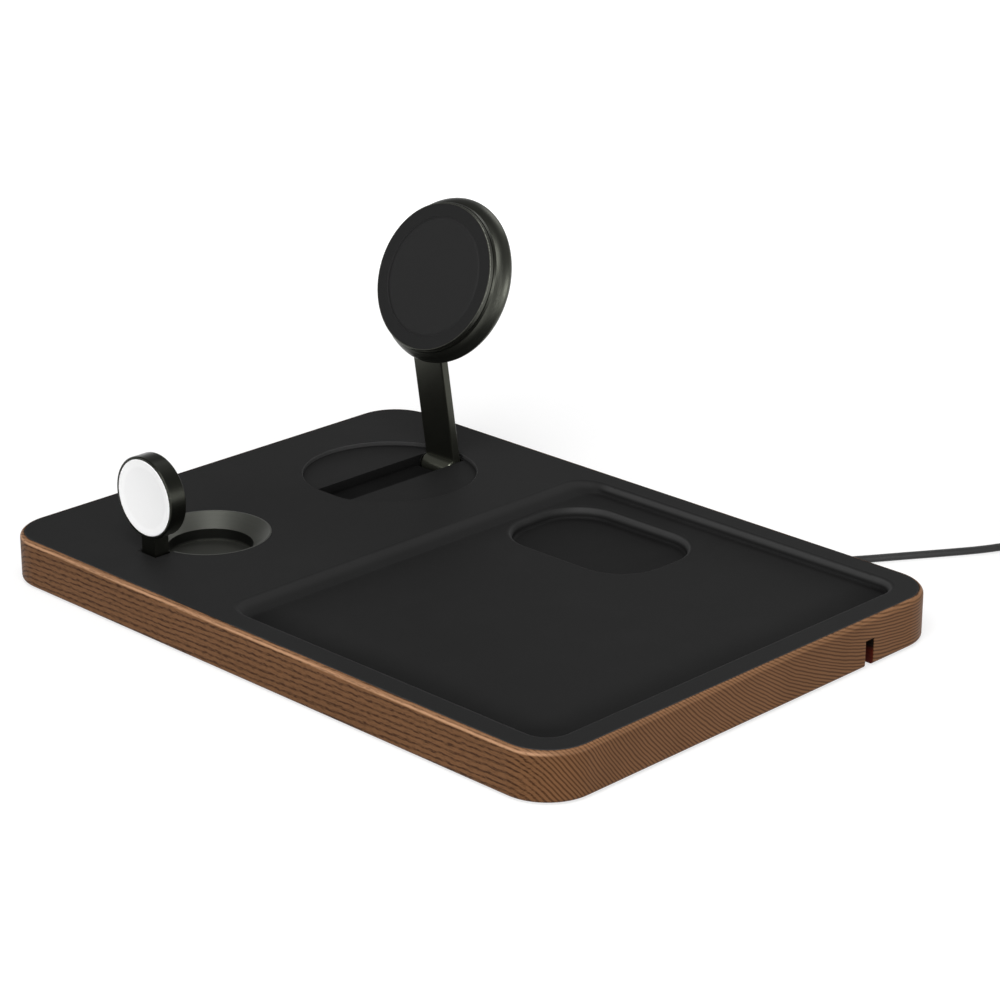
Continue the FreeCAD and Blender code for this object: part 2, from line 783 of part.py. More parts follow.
def make_watch_shell():
    """Round housing of the watch puck with the neck and hinge barrel below it."""
    shell = post(puck_radius, 0, 0, -puck_thick, 0)
    shell = shell.makeFillet(puck_edge_round, level_edges(shell, 0) + level_edges(shell, -puck_thick))
    hinge = V(0, -puck_reach, -puck_front_set)
    half = neck_thick / 2
    root = -puck_radius + puck_cavity_wall / 2
    neck = block(-neck_width / 2, neck_width / 2, hinge.y, root, hinge.z - half, hinge.z + half)
    body = fuse_all([shell, neck, rod(half, neck_width / 2, hinge)])
    seat = post(puck_face_radius() + pad_clearance, 0, 0, -puck_face_thick, overrun)
    cavity = post(puck_radius - puck_cavity_wall, 0, 0, puck_layers()[-1], 0)
    return on_puck(body.cut([seat, cavity, rod(watch_pin_radius + pin_clearance, neck_width, hinge)]))


def make_watch_face():
    """White charging face, slightly dished."""
    radius = puck_face_radius()
    rim, middle = V(radius, 0, 0), V(0, 0, -puck_face_dish)
    centre_height = (radius ** 2 - puck_face_dish ** 2) / (2 * puck_face_dish)
    dish = centre_height + puck_face_dish
    half_angle = math.asin(radius / dish) / 2
    between = V(dish * math.sin(half_angle), 0, centre_height - dish * math.cos(half_angle))
    foot = [middle, V(0, 0, -puck_face_thick), V(radius, 0, -puck_face_thick), rim]
    edges = [Part.Arc(rim, between, middle).toShape()]
    return on_puck(turned(edges + [Part.makeLine(a, b) for a, b in zip(foot, foot[1:])]))


def puck_coil_radius():
    """Outer radius of the watch coil inside the puck's cavity."""
    return puck_radius - puck_cavity_wall - puck_coil_gap


def make_watch_coil():
    """Small flat coil behind the white face."""
    face, coil = puck_layers()[:2]
    return on_puck(ring(puck_coil_inner, puck_coil_radius(), 0, 0, coil, face))


def make_watch_ferrite():
    """Ferrite disc behind the watch coil."""
    coil, ferrite = puck_layers()[1:3]
    return on_puck(post(puck_coil_radius(), 0, 0, ferrite, coil))


def make_watch_magnet():
    """Magnet that centres the watch."""
    ferrite, magnet = puck_layers()[2:]
    return on_puck(post(puck_magnet_radius, 0, 0, magnet, ferrite))


def make_earbud_coil():
    """Flat coil under the earbud recess."""
    return ring(earbud_coil_inner, earbud_coil_outer, earbud_x, earbud_y, earbud_under - coil_thick, earbud_under)


def make_earbud_ferrite():
    """Ferrite sheet under the earbud coil."""
    top = earbud_under - coil_thick
    return post(earbud_ferrite_radius, earbud_x, earbud_y, top - ferrite_thick, top)


def bay_boxes(wall, low, high):
    """Plug bay behind the socket and the channel to the right notch, grown by a wall."""
    x0, x1 = outlet_x - bay_width / 2, outlet_x + bay_width / 2
    end_x = tray_right - wood_wall - cover_gap - bay_wall
    end_y = tray_back - wood_wall - cover_gap - bay_wall
    half = channel_width / 2
    bay = block(x0 - wall, x1 + wall, bay_front - wall, end_y + wall, low, high)
    channel = block(x1 - overrun, end_x + wall, notch_y - half - wall, notch_y + half + wall, low, high)
    return [bay, channel]


def board_bounds():
    """Plan of the main board: its back edge just clears the bay's front wall."""
    right = outlet_x + board_from_outlet
    back = bay_front - bay_wall - socket_wall_gap
    return right - board_length, right, back - board_depth, back


def board_hole_places():
    """Screw holes near the board's four corners."""
    x0, x1, y0, y1 = board_bounds()
    inset = board_hole_inset
    return [(x, y) for x in (x0 + inset, x1 - inset) for y in (y0 + inset, y1 - inset)]


def make_bottom_cover():
    """Moulded cover let into the underside, with a bay for the plug and a channel to the side notch."""
    solids = [tray_outline(cover_ledge + cover_gap, cover_under, cover_top)]
    solids += bay_boxes(bay_wall, cover_under, bay_ceiling + bay_wall)
    solids += [post(standoff_radius, x, y, cover_under, board_under) for x, y in board_hole_places()]
    cover = fuse_all(solids)
    cuts = bay_boxes(0, cover_under - overrun, bay_ceiling)
    cuts += notch_cutters(wood_wall + cover_gap + bay_wall + overrun, bay_ceiling)
    cuts += [oval_bar(socket_width + 2 * socket_wall_gap, socket_height + 2 * socket_wall_gap,
                      bay_front - bay_wall - overrun, bay_front + overrun)]
    cuts += [post(cover_screw_radius + pin_clearance, x, y, cover_under - overrun, cover_top + overrun)
             for x, y in boss_places()]
    cuts += [post(cover_head_radius + cover_gap, x, y, cover_under - overrun, cover_under + cover_head_height)
             for x, y in boss_places()]
    cuts += [post(board_screw_radius, x, y, cover_top, board_under + overrun) for x, y in board_hole_places()]
    return cover.cut(cuts)


def make_cover_screws():
    """Screws that clamp the cover, the frame and the panel together."""
    return screws(boss_places(), cover_under + cover_head_height, cover_head_radius, cover_head_height,
                  cover_screw_radius - pin_clearance, cover_top + cover_screw_bite - cover_tip_gap)


def make_rubber_feet():
    """Four round feet under the cover."""
    x, y = tray_right - foot_inset, tray_back - foot_inset
    feet = []
    for place in [(-x, -y), (-x, y), (x, -y), (x, y)]:
        foot = post(foot_radius, *place, 0, cover_under)
        feet.append(foot.makeFillet(foot_round, level_edges(foot, 0)))
    return Part.makeCompound(feet)


def make_main_board():
    """Circuit board on the cover's standoffs."""
    x0, x1, y0, y1 = board_bounds()
    board = rounded_block(x0, x1, y0, y1, board_under, board_top, board_corner)
    return board.cut([post(board_screw_radius + pin_clearance, x, y, board_under - overrun, board_top + overrun)
                      for x, y in board_hole_places()])


def make_board_screws():
    """Screws that hold the board down."""
    solids = []
    for x, y in board_hole_places():
        shank = post(board_screw_radius - pin_clearance, x, y, cover_top, board_top)
        head = post(board_head_radius, x, y, board_top, board_top + board_head_height)
        solids.append(fuse_all([shank, head]))
    return Part.makeCompound(solids)


def make_board_components():
    """Shielded chips, power inductors and capacitors on the board's upper face."""
    x0, x1, y0, y1 = board_bounds()
    solids = []
    for share_x, share_y in shield_place_shares:
        x, y = x0 + share_x * (x1 - x0), y0 + share_y * (y1 - y0)
        solids.append(block(x - shield_side / 2, x + shield_side / 2, y - shield_side / 2, y + shield_side / 2,
                            board_top, board_top + shield_height))
    for share_x, share_y in inductor_place_shares:
        x, y = x0 + share_x * (x1 - x0), y0 + share_y * (y1 - y0)
        half = inductor_side / 2
        solids.append(rounded_block(x - half, x + half, y - half, y + half, board_top,
                                    board_top + inductor_height, inductor_round))
    for share_x, share_y in capacitor_place_shares:
        x, y = x0 + share_x * (x1 - x0), y0 + share_y * (y1 - y0)
        solids.append(post(capacitor_radius, x, y, board_top, board_top + capacitor_height))
    return Part.makeCompound(solids)


def oval_bar(width, height, y0, y1):
    """Bar with round sides along Y, at the socket's place."""
    radius = height / 2
    flat = width / 2 - radius
    bar = block(outlet_x - flat, outlet_x + flat, y0, y1, socket_middle - radius, socket_middle + radius)
    sides = [Part.makeCylinder(radius, y1 - y0, V(outlet_x + side * flat, y0, socket_middle), Y_AXIS)
             for side in (-1, 1)]
    return fuse_all([bar] + sides)


def make_usb_socket():
    """Metal socket on the board's back edge, its mouth flush with the bay's front wall."""
    back = bay_front - socket_length
    shell = oval_bar(socket_width, socket_height, back, bay_front)
    mouth = oval_bar(socket_width - 2 * socket_wall, socket_height - 2 * socket_wall,
                     back + socket_floor, bay_front + overrun)
    return shell.cut(mouth)


def plug_place(cable_end, heading):
    """A function that moves a plug modelled along +Y, its cable end at the origin, to its place."""
    turn = math.degrees(math.atan2(-heading.x, heading.y))

    def place(shape):
        moved = shape.copy()
        moved.rotate(V(), Z_AXIS, turn)
        moved.translate(cable_end)
        return moved

    return place


def plug_grip():
    """Moulded grip and tapered strain relief along +Y, the cable end at the origin."""
    half_x, half_z = grip_width / 2, grip_height / 2
    grip = rounded_bar(-half_x, half_x, relief_length, relief_length + grip_length, -half_z, half_z, grip_round)
    relief = Part.makeCone(cable_radius + relief_wall, half_z - relief_wall, relief_length, V(), Y_AXIS)
    return fuse_all([grip, relief])


def plug_tip():
    """Metal tip of the plug along +Y, in front of the grip."""
    radius = tip_height / 2
    flat = tip_width / 2 - radius
    y0 = relief_length + grip_length
    bar = block(-flat, flat, y0, y0 + tip_length, -radius, radius)
    sides = [Part.makeCylinder(radius, tip_length, V(side * flat, y0, 0), Y_AXIS) for side in (-1, 1)]
    return fuse_all([bar] + sides)


def coil_heading():
    """The cable's direction where it runs into the coil."""
    return (lead_route[-1] - lead_route[-2]).normalize()


def round_coil(radius, turn, height):
    """Place at a distance from the coil's middle, a turn clockwise past its start, and a height."""
    heading = coil_heading()
    inward = V(heading.y, -heading.x, 0)
    middle = lead_route[-1] + heading * cable_diameter + inward * coil_outer_radius
    way = FreeCAD.Rotation(Z_AXIS, -turn).multVec(inward * -1)
    return V(middle.x, middle.y, height) + way * radius


def coil_stations():
    """Radius and height at each half turn: in and out again layer by layer, climbing where the spiral turns."""
    radius, height = coil_outer_radius, lead_route[-1].z
    step = -coil_pitch / 2
    stations = [(radius, height)]
    for layer, half_turns in enumerate(coil_half_turns, start=1):
        for _ in range(half_turns):
            radius += step
            stations.append((radius, height))
        if layer < len(coil_half_turns):
            swing = radius + math.copysign(coil_climb_room, step)
            stations[-1] = (swing, height)
            height += coil_layer_height
            stations.append((swing, height))
            step = -step
    return stations


def coil_points():
    """The half turns' ends on the coil's diameter."""
    return [round_coil(radius, 180 * i, height) for i, (radius, height) in enumerate(coil_stations())]


def coil_edges():
    """Half circles, level in a layer and tilted in a climb, with a straight end of one diameter each side."""
    points = coil_points()
    straight = coil_heading() * cable_diameter
    edges = [Part.makeLine(points[0] - straight, points[0])]
    for i, (a, b) in enumerate(zip(points, points[1:])):
        way = coil_heading() * (1 if i % 2 == 0 else -1)
        edges.append(Part.Arc(a, (a + b) / 2 + way * (a.distanceToPoint(b) / 2), b).toShape())
    return edges + [Part.makeLine(points[-1], points[-1] + straight)]


def tail_route():
    """Points from the coil's end straight on, round its outside and down to the far plug on the floor."""
    start = coil_points()[-1] + coil_heading() * cable_diameter
    return [start, start + coil_heading() * tail_first_run] + [round_coil(*place) for place in tail_places]


def rounded_route(points, label):
    """Straight runs joined by tangent arcs, each as large as its two runs allow."""
    edges, here, radii = [], points[0], []
    for before, corner, after in zip(points, points[1:], points[2:]):
        into, out = (corner - before), (after - corner)
        shorter = min(into.Length, out.Length)
        half_turn = into.getAngle(out) / 2
        cut = arc_run_share * shorter
        radii.append(cut / math.tan(half_turn))
        into, out = into.normalize(), out.normalize()
        start, end = corner - into * cut, corner + out * cut
        centre_way = (out - into).normalize()
        centre = corner + centre_way * (radii[-1] / math.cos(half_turn))
        edges.append(Part.makeLine(here, start))
        edges.append(Part.Arc(start, centre - centre_way * radii[-1], end).toShape())
        here = end
    edges.append(Part.makeLine(here, points[-1]))
    print(label, "arc radii", [round(r, 1) for r in radii], "least", round(min(radii), 1))
    return edges


def tube(edges, label):
    """Round cable along a path, its volume compared with its section times its length."""
    path = Part.Wire(Part.__sortEdges__(edges))
    start = edges[0].valueAt(edges[0].FirstParameter)
    way = edges[0].tangentAt(edges[0].FirstParameter)
    section = Part.Wire(Part.makeCircle(cable_radius, start, way))
    solid = path.makePipeShell([section], True, False)
    expected = math.pi * cable_radius ** 2 * path.Length
    print(label, "length", round(path.Length, 1), "volume share", round(solid.Volume / expected, 4))
    return solid


def self_gap(edges):
    """Least gap between stretches of a tube more than a few diameters apart along it."""
    points, along, travelled = [], [], 0.0
    for edge in edges:
        steps = max(1, int(edge.Length / cable_radius))
        spacing = edge.Length / steps
        for i, point in enumerate(edge.discretize(steps + 1)[:-1]):
            points.append(point)
            along.append(travelled + i * spacing)
        travelled += edge.Length
    least = math.inf
    reach = math.pi * cable_diameter * gap_skip_share
    for i, point in enumerate(points):
        for j in range(i + 1, len(points)):
            if along[j] - along[i] > reach:
                least = min(least, point.distanceToPoint(points[j]))
    return least - cable_diameter


def make_cable_lead():
    """Cable from the plug, out through the back notch and along the floor to the coil."""
    return tube(rounded_route(lead_route, "lead"), "lead")


def make_cable_coil():
    """Put-away length of the cable, wound in four layers."""
    edges = coil_edges()
    print("coil half turns", sum(coil_half_turns) + len(coil_half_turns) - 1, "least self gap",
          round(self_gap(edges), 2))
    return tube(edges, "coil")


def make_cable_tail():
    """Last stretch of the cable, from the coil down to the far plug."""
    return tube(rounded_route(tail_route(), "tail"), "tail")


def make_coil_tie():
    """Soft strap round the coil's turns."""
    stations = coil_stations()
    around = cable_radius + tie_clearance
    half = tie_width / 2
    bore = min(radius for radius, _ in stations) - cable_radius
    inner = math.sqrt(bore ** 2 - half ** 2) - tie_clearance
    outer = max(radius for radius, _ in stations) + around
    low, high = stations[0][1] - around, stations[-1][1] + around
    outside = rounded_bar(inner - tie_thick, outer + tie_thick, -half, half,
                          low - tie_thick, high + tie_thick, tie_round)
    inside = rounded_bar(inner, outer, -half - overrun, half + overrun, low, high, tie_round - tie_thick)
    tie = outside.cut(inside)
    middle = round_coil(0, 0, 0)
    way = round_coil(outer, tie_turn, 0) - middle
    tie.rotate(V(), Z_AXIS, math.degrees(math.atan2(way.y, way.x)))
    tie.translate(middle)
    return tie


def near_plug():
    """Placement of the plug in the socket."""
    return plug_place(lead_route[0], Y_AXIS * -1)


def far_plug():
    """Placement of the plug at the cable's far end."""
    route = tail_route()
    return plug_place(route[-1], (route[-1] - route[-2]).normalize())


def make_plug_grip():
    """Grip of the plug in the socket."""
    return near_plug()(plug_grip())


def make_plug_tip():
    """Tip of the plug in the socket."""
    return near_plug()(plug_tip())


def make_far_grip():
    """Grip of the plug at the far end."""
    return far_plug()(plug_grip())


def make_far_tip():
    """Tip of the plug at the far end."""
    return far_plug()(plug_tip())


PIECES = {
    "wood_base": make_wood_base,
    "top_panel": make_top_panel,
    "arm_cradle": make_arm_cradle,
    "cradle_screws": make_cradle_screws,
    "arm_hinge_pin": make_arm_hinge_pin,
    "arm_washers": make_arm_washers,
    "phone_arm": make_phone_arm,
    "disc_shell": make_disc_shell,
    "disc_rim": make_disc_rim,
    "disc_pad": make_disc_pad,
    "disc_coil": make_disc_coil,
    "disc_ferrite": make_disc_ferrite,
    "disc_board": make_disc_board,
    "disc_magnets": make_disc_magnets,
    "disc_hinge_lug": make_disc_hinge_lug,
    "disc_hinge_pin": make_disc_hinge_pin,
    "watch_well": make_watch_well,
    "watch_hinge_pin": make_watch_hinge_pin,
    "watch_shell": make_watch_shell,
    "watch_face": make_watch_face,
    "watch_coil": make_watch_coil,
    "watch_ferrite": make_watch_ferrite,
    "watch_magnet": make_watch_magnet,
    "earbud_coil": make_earbud_coil,
    "earbud_ferrite": make_earbud_ferrite,
    "bottom_cover": make_bottom_cover,
    "cover_screws": make_cover_screws,
    "rubber_feet": make_rubber_feet,
    "main_board": make_main_board,
    "board_screws": make_board_screws,
    "board_components": make_board_components,
    "usb_socket": make_usb_socket,
    "plug_grip": make_plug_grip,
    "plug_tip": make_plug_tip,
    "cable_lead": make_cable_lead,
    "cable_coil": make_cable_coil,
    "coil_tie": make_coil_tie,
    "cable_tail": make_cable_tail,
    "far_grip": make_far_grip,
    "far_tip": make_far_tip,
}


def main():
    """Build every piece and write each to its own file."""
    os.makedirs("parts", exist_ok=True)
    for name, make in PIECES.items():
        shape = make()
        print(name, len(shape.Solids), "solids", round(shape.Volume, 1), shape.isValid())
        shape.exportStep("parts/" + name + ".step")


main()
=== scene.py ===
"""Studio scene of a charging station organizer: its finishes, its cable, the light and the camera."""

import logging
import math
from dataclasses import dataclass
from enum import Enum
from typing import Any, Dict, List, Optional, Sequence, Tuple, Union

import bpy
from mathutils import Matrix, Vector


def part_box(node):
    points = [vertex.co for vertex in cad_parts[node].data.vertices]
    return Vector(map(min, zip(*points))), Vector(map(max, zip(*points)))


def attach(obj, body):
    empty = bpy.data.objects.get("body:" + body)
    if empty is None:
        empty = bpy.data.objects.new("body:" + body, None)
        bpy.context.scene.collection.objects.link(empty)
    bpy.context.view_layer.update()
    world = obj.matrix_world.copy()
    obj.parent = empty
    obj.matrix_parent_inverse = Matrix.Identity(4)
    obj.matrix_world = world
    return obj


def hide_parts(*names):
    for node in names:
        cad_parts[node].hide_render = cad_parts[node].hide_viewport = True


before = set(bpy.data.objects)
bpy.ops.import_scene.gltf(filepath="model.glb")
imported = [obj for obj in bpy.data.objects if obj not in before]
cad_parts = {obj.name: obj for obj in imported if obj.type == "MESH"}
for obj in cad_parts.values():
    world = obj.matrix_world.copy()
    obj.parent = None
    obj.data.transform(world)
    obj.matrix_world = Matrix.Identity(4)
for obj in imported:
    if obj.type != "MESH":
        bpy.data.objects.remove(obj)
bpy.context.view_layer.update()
SCENE = bpy.context.scene

LOG = logging.getLogger("charging_station")
MM = 0.001
TRAY_TOP = 18.0 * MM
UP = (0.0, 0.0, 1.0)
WHITE = (1.0, 1.0, 1.0, 1.0)

Colour = Tuple[float, float, float]
Place = Tuple[float, float, float]
Span = Tuple[float, float]
Faces = List[Tuple[int, ...]]


def tone(*channels: float) -> Colour:
    """Turn the red, green and blue of an eight-bit display colour into linear light."""
    shares = [channel / 255 for channel in channels]
    return tuple(s / 12.92 if s <= 0.04045 else ((s + 0.055) / 1.055) ** 2.4 for s in shares)


def shaded(colour: Colour, share: float) -> Colour:
    """A colour made lighter or darker by a share."""
    return tuple(channel * share for channel in colour)


class Signal:
    """A shader socket that takes part in arithmetic."""

    def __init__(self, net: "Net", socket: bpy.types.NodeSocket) -> None:
        """Wrap one output socket of a net."""
        self.net = net
        self.socket = socket

    def _math(self, operation: str, first: "Operand", second: "Operand") -> "Signal":
        """One Math node on two operands."""
        return self.net.node("ShaderNodeMath", {"operation": operation}, {0: first, 1: second})

    def __add__(self, other: "Operand") -> "Signal":
        """Sum."""
        return self._math("ADD", self, other)

    __radd__ = __add__

    def __sub__(self, other: "Operand") -> "Signal":
        """Difference."""
        return self._math("SUBTRACT", self, other)

    def __rsub__(self, other: "Operand") -> "Signal":
        """Difference from a number."""
        return self._math("SUBTRACT", other, self)

    def __mul__(self, other: "Operand") -> "Signal":
        """Product."""
        return self._math("MULTIPLY", self, other)

    __rmul__ = __mul__

    def __truediv__(self, other: "Operand") -> "Signal":
        """Quotient."""
        return self._math("DIVIDE", self, other)

    def __rtruediv__(self, other: "Operand") -> "Signal":
        """Quotient of a number."""
        return self._math("DIVIDE", other, self)

    def root(self) -> "Signal":
        """Square root."""
        return self._math("SQRT", self, 0)

    def sine(self) -> "Signal":
        """Sine."""
        return self._math("SINE", self, 0)

    def fraction(self) -> "Signal":
        """Part after the decimal point."""
        return self._math("FRACT", self, 0)

    def absolute(self) -> "Signal":
        """Absolute value."""
        return self._math("ABSOLUTE", self, 0)

    def smooth(self, low: float, high: float) -> "Signal":
        """Smooth step from 0 at low to 1 at high."""
        feeds = {0: self, 1: low, 2: high, 3: 0.0, 4: 1.0}
        return self.net.node("ShaderNodeMapRange", {"interpolation_type": "SMOOTHSTEP"}, feeds)

    def other(self, name: str) -> "Signal":
        """Another output of the same node."""
        return Signal(self.net, self.socket.node.outputs[name])


Operand = Union[Signal, float]
Tint = Union[Signal, Colour]
Feed = Union[Signal, float, Sequence[float]]


class Net:
    """A node tree that is built from one method."""

    def __init__(self, tree: bpy.types.NodeTree) -> None:
        """Start from an empty tree."""
        self.tree = tree
        self.tree.nodes.clear()

    def node(self, kind: str, settings: Dict[str, Any], feeds: Dict[Union[int, str], Feed],
             output: Union[int, str] = 0) -> Optional[Signal]:
        """Add a node.

        Args:
            kind: The node's type.
            settings: Its own settings, set first.
            feeds: Values or links of its sockets, by index or name.
            output: The output to hand back.

        Returns:
            That output, or None where the node has none.
        """
        made = self.tree.nodes.new(kind)
        for key, value in settings.items():
            setattr(made, key, value)
        for key, feed in feeds.items():
            if isinstance(feed, Signal):
                self.tree.links.new(feed.socket, made.inputs[key])
            else:
                made.inputs[key].default_value = feed
        return Signal(self, made.outputs[output]) if made.outputs else None

    def axes(self, place: Signal) -> Tuple[Signal, Signal, Signal]:
        """The three coordinates of a vector."""
        x = self.node("ShaderNodeSeparateXYZ", {}, {0: place})
        return x, x.other("Y"), x.other("Z")

    def place(self) -> Signal:
        """Place on the object in metres, in the shared frame."""
        return self.node("ShaderNodeTexCoord", {}, {}, "Object")

    def rays(self) -> Tuple[Signal, Signal, Signal]:
        """One for camera rays, for glossy rays and for transmission rays."""
        camera = self.node("ShaderNodeLightPath", {}, {}, "Is Camera Ray")
        return camera, camera.other("Is Glossy Ray"), camera.other("Is Transmission Ray")


class FinishNet(Net):
    """The node tree of one material."""

    def __init__(self, name: str) -> None:
        """Start an empty material."""
        self.material = bpy.data.materials.new(name)
        self.material.use_nodes = True
        super().__init__(self.material.node_tree)

    def vector(self, x: Operand, y: Operand, z: Operand) -> Signal:
        """A vector of three values."""
        return self.node("ShaderNodeCombineXYZ", {}, {0: x, 1: y, 2: z})

    def vector_math(self, operation: str, *feeds: Feed, output: Union[int, str] = 0) -> Signal:
        """One Vector Math node on its feeds in turn."""
        return self.node("ShaderNodeVectorMath", {"operation": operation}, dict(enumerate(feeds)), output)

    def facing(self) -> Tuple[Signal, Signal, Signal]:
        """The surface's own direction, along each axis."""
        return self.axes(self.node("ShaderNodeNewGeometry", {}, {}, "Normal"))

    def noise(self, place: Signal, scale: float, detail: float, roughness: float = 0.5) -> Signal:
        """Soft noise about 0.5."""
        feeds = {"Vector": place, "Scale": scale, "Detail": detail, "Roughness": roughness}
        return self.node("ShaderNodeTexNoise", {}, feeds, "Fac")

    def streaks(self, place: Signal, scale: Place, detail: float, roughness: float = 0.5) -> Signal:
        """Soft noise about 0.5 with its own scale along each axis."""
        return self.noise(self.vector_math("MULTIPLY", place, scale), 1.0, detail, roughness)

    def mix(self, first: Tint, second: Tint, share: Operand) -> Signal:
        """Blend from a first colour, where share is 0, to a second one."""
        ends = {i: end if isinstance(end, Signal) else (*end, 1.0) for i, end in zip((6, 7), (first, second))}
        return self.node("ShaderNodeMix", {"data_type": "RGBA", "clamp_factor": True}, {0: share, **ends}, 2)

    def bump(self, height: Signal, depth: float, strength: float) -> Signal:
        """A normal from a height of 0 to 1 that stands for a depth in metres."""
        feeds = {"Height": height, "Distance": depth, "Strength": strength}
        return self.node("ShaderNodeBump", {}, feeds, "Normal")

    def surface(self, feeds: Dict[str, Feed]) -> None:
        """Finish the material with a Principled surface."""
        shader = self.node("ShaderNodeBsdfPrincipled", {}, feeds)
        self.node("ShaderNodeOutputMaterial", {}, {"Surface": shader})


@dataclass(frozen=True)
class Turning:
    """Axis that a turned piece was cut about."""

    centre: Place
    axis: Place

    def radius_and_depth(self, net: FinishNet) -> Tuple[Signal, Signal]:
        """Distance from the axis and along it.

        Args:
            net: The material's net.

        Returns:
            The two distances in metres.
        """
        away = net.vector_math("SUBTRACT", net.place(), self.centre)
        along = net.vector_math("DOT_PRODUCT", away, self.axis, output="Value")
        length = net.vector_math("LENGTH", away, output="Value")
        return (length * length - along * along).root(), along


class Finish:
    """The look of one surface. Scales of noise are per metre."""

    name: str

    def paint(self, net: FinishNet) -> None:
        """Build the surface in a material's net."""
        raise NotImplementedError

    def finished(self) -> bpy.types.Material:
        """Make a material with this finish.

        Returns:
            The material.
        """
        net = FinishNet(self.name)
        self.paint(net)
        return net.material


@dataclass(frozen=True)
class WoodFinish(Finish):
    """Oiled hardwood whose growth rings run along the tray's long side."""

    name: str = "oiled_wood"
    heart: Tuple[float, float] = (85 * MM, 135 * MM)
    ring: float = 1.15 * MM
    ring_change: float = 1.1
    ring_change_scale: float = 170.0
    lean: float = 0.012
    sway: float = 2.4 * MM
    sway_scale: Place = (7, 26, 26)
    drift: float = 0.6 * MM
    drift_scale: Place = (40, 190, 190)
    ripple: float = 0.6 * MM
    ripple_scale: Place = (260, 300, 300)
    streak_scale: Place = (360, 1600, 1600)
    fibre_scale: Place = (420, 2800, 2800)
    cloud_scale: Place = (12, 50, 50)
    pore_depth: float = 0.05 * MM
    light: Colour = tone(119, 83, 55)
    middle: Colour = tone(106, 74, 49)
    dark: Colour = tone(63, 40, 23)
    pore: Colour = tone(50, 30, 17)
    # Pale tone of the painted highlight along the wood's top edge.
    edge: Colour = tone(182, 140, 107)
    # Cut end grain in the notch: its own red-brown, made darker as painted shade.
    cut: Colour = tone(74, 18, 10)
    # Black of the painted shadow high up in the notch.
    notch_shadow: Colour = tone(14, 12, 11)
    rounding: Span = (0.1 * MM, 0.4 * MM)
    rounding_share: float = 0.35
    palest: Span = (0.6 * MM, 1.05 * MM)
    edge_highlight_foot: Span = (1.2 * MM, 1.85 * MM)
    notch_y: float = 56.8 * MM
    notch_half: float = 2.25 * MM
    notch_top: float = 10.35 * MM
    notch_root: Span = (120.0 * MM, 125.0 * MM)
    notch_mouth: Span = (134.6 * MM, 134.9 * MM)
    notch_blur: float = 0.05 * MM
    # Heights over which the notch's painted shade goes over into painted shadow.
    notch_shadow_rise: Span = (5.2 * MM, 7.4 * MM)

    def paint(self, net: FinishNet) -> None:
        """Build the wood: even rings on the end grain, broken into short dark streaks along the grain.

        Args:
            net: The material's net.
        """
        place = net.place()
        x, y, z = net.axes(place)
        end = net.facing()[0].absolute().smooth(0.35, 0.85)
        wave = self._rings(net, place, end)
        line = wave.smooth(0.3, 0.9)
        thin = wave.smooth(0.45, 0.95)
        streak = net.streaks(place, self.streak_scale, 2.0, 0.55)
        fibre = net.streaks(place, self.fibre_scale, 2.0)
        cloud = net.streaks(place, self.cloud_scale, 2.0).smooth(0.25, 0.75)
        broken = thin * (0.62 + streak.smooth(0.38, 0.6) * 0.5) + streak.smooth(0.46, 0.66) * 0.4
        darker = broken * (1 - end) + line * end * 0.95
        pores = streak.smooth(0.58, 0.7) * line * (1 - end) * 0.6
        body = net.mix(self.middle, self.light, cloud * 0.6 + fibre * 0.4)
        grained = net.mix(net.mix(body, self.dark, darker * 0.85), self.pore, pores * 0.5)
        # Painted highlight: a pale band down the top edge's rounding, faint on the end grain and a little
        # smoother.
        below = TRAY_TOP - z
        paler = below.smooth(*self.rounding) * self.rounding_share \
            + below.smooth(*self.palest) * (1 - self.rounding_share)
        edge_highlight = paler * (1 - below.smooth(*self.edge_highlight_foot)) * (1 - end * 0.85)
        highlighted = net.mix(grained, self.edge, edge_highlight * (0.95 - darker * 0.3))
        # Inside the notch: cut walls in painted shade, going into painted shadow towards the top.
        beside = (y - self.notch_y).absolute().smooth(self.notch_half, self.notch_half + self.notch_blur)
        above = z.smooth(self.notch_top, self.notch_top + self.notch_blur)
        inside = (1 - beside) * (1 - above) * (1 - x.smooth(*self.notch_mouth)) * x.smooth(*self.notch_root)
        slot = net.mix(self.cut, self.notch_shadow, z.smooth(*self.notch_shadow_rise))
        height = 1 - line * 0.3 - pores * 0.4 - fibre * 0.2
        net.surface({
            "Base Color": net.mix(highlighted, slot, inside * 0.95),
            "Roughness": 0.52 + pores * 0.2 - cloud * 0.08 - edge_highlight * 0.08,
            "Specular IOR Level": 0.07,
            "Normal": net.bump(height, self.pore_depth, 0.5),
        })

    def _rings(self, net: FinishNet, place: Signal, end: Signal) -> Signal:
        """Growth rings about the tree's heart.

        Args:
            net: The material's net.
            place: Place on the wood.
            end: One on the end grain.

        Returns:
            A wave from 0 between two rings to 1 on a ring.
        """
        x, y, z = net.axes(place)
        sway = net.streaks(place, self.sway_scale, 2.0) - 0.5
        drift = net.streaks(place, self.drift_scale, 2.0) - 0.5
        ripple = (net.streaks(place, self.ripple_scale, 1.0) - 0.5) * (1 - end)
        off_y, off_z = y - self.heart[0], z - self.heart[1]
        reach = (off_y * off_y + off_z * off_z).root() + x * self.lean
        reach = reach + sway * self.sway + drift * self.drift + ripple * self.ripple
        change = net.noise(net.vector(reach * self.ring_change_scale, 0.0, 0.0), 1.0, 1.0) - 0.5
        return ((reach / self.ring + change * self.ring_change) * math.tau).sine() * 0.5 + 0.5


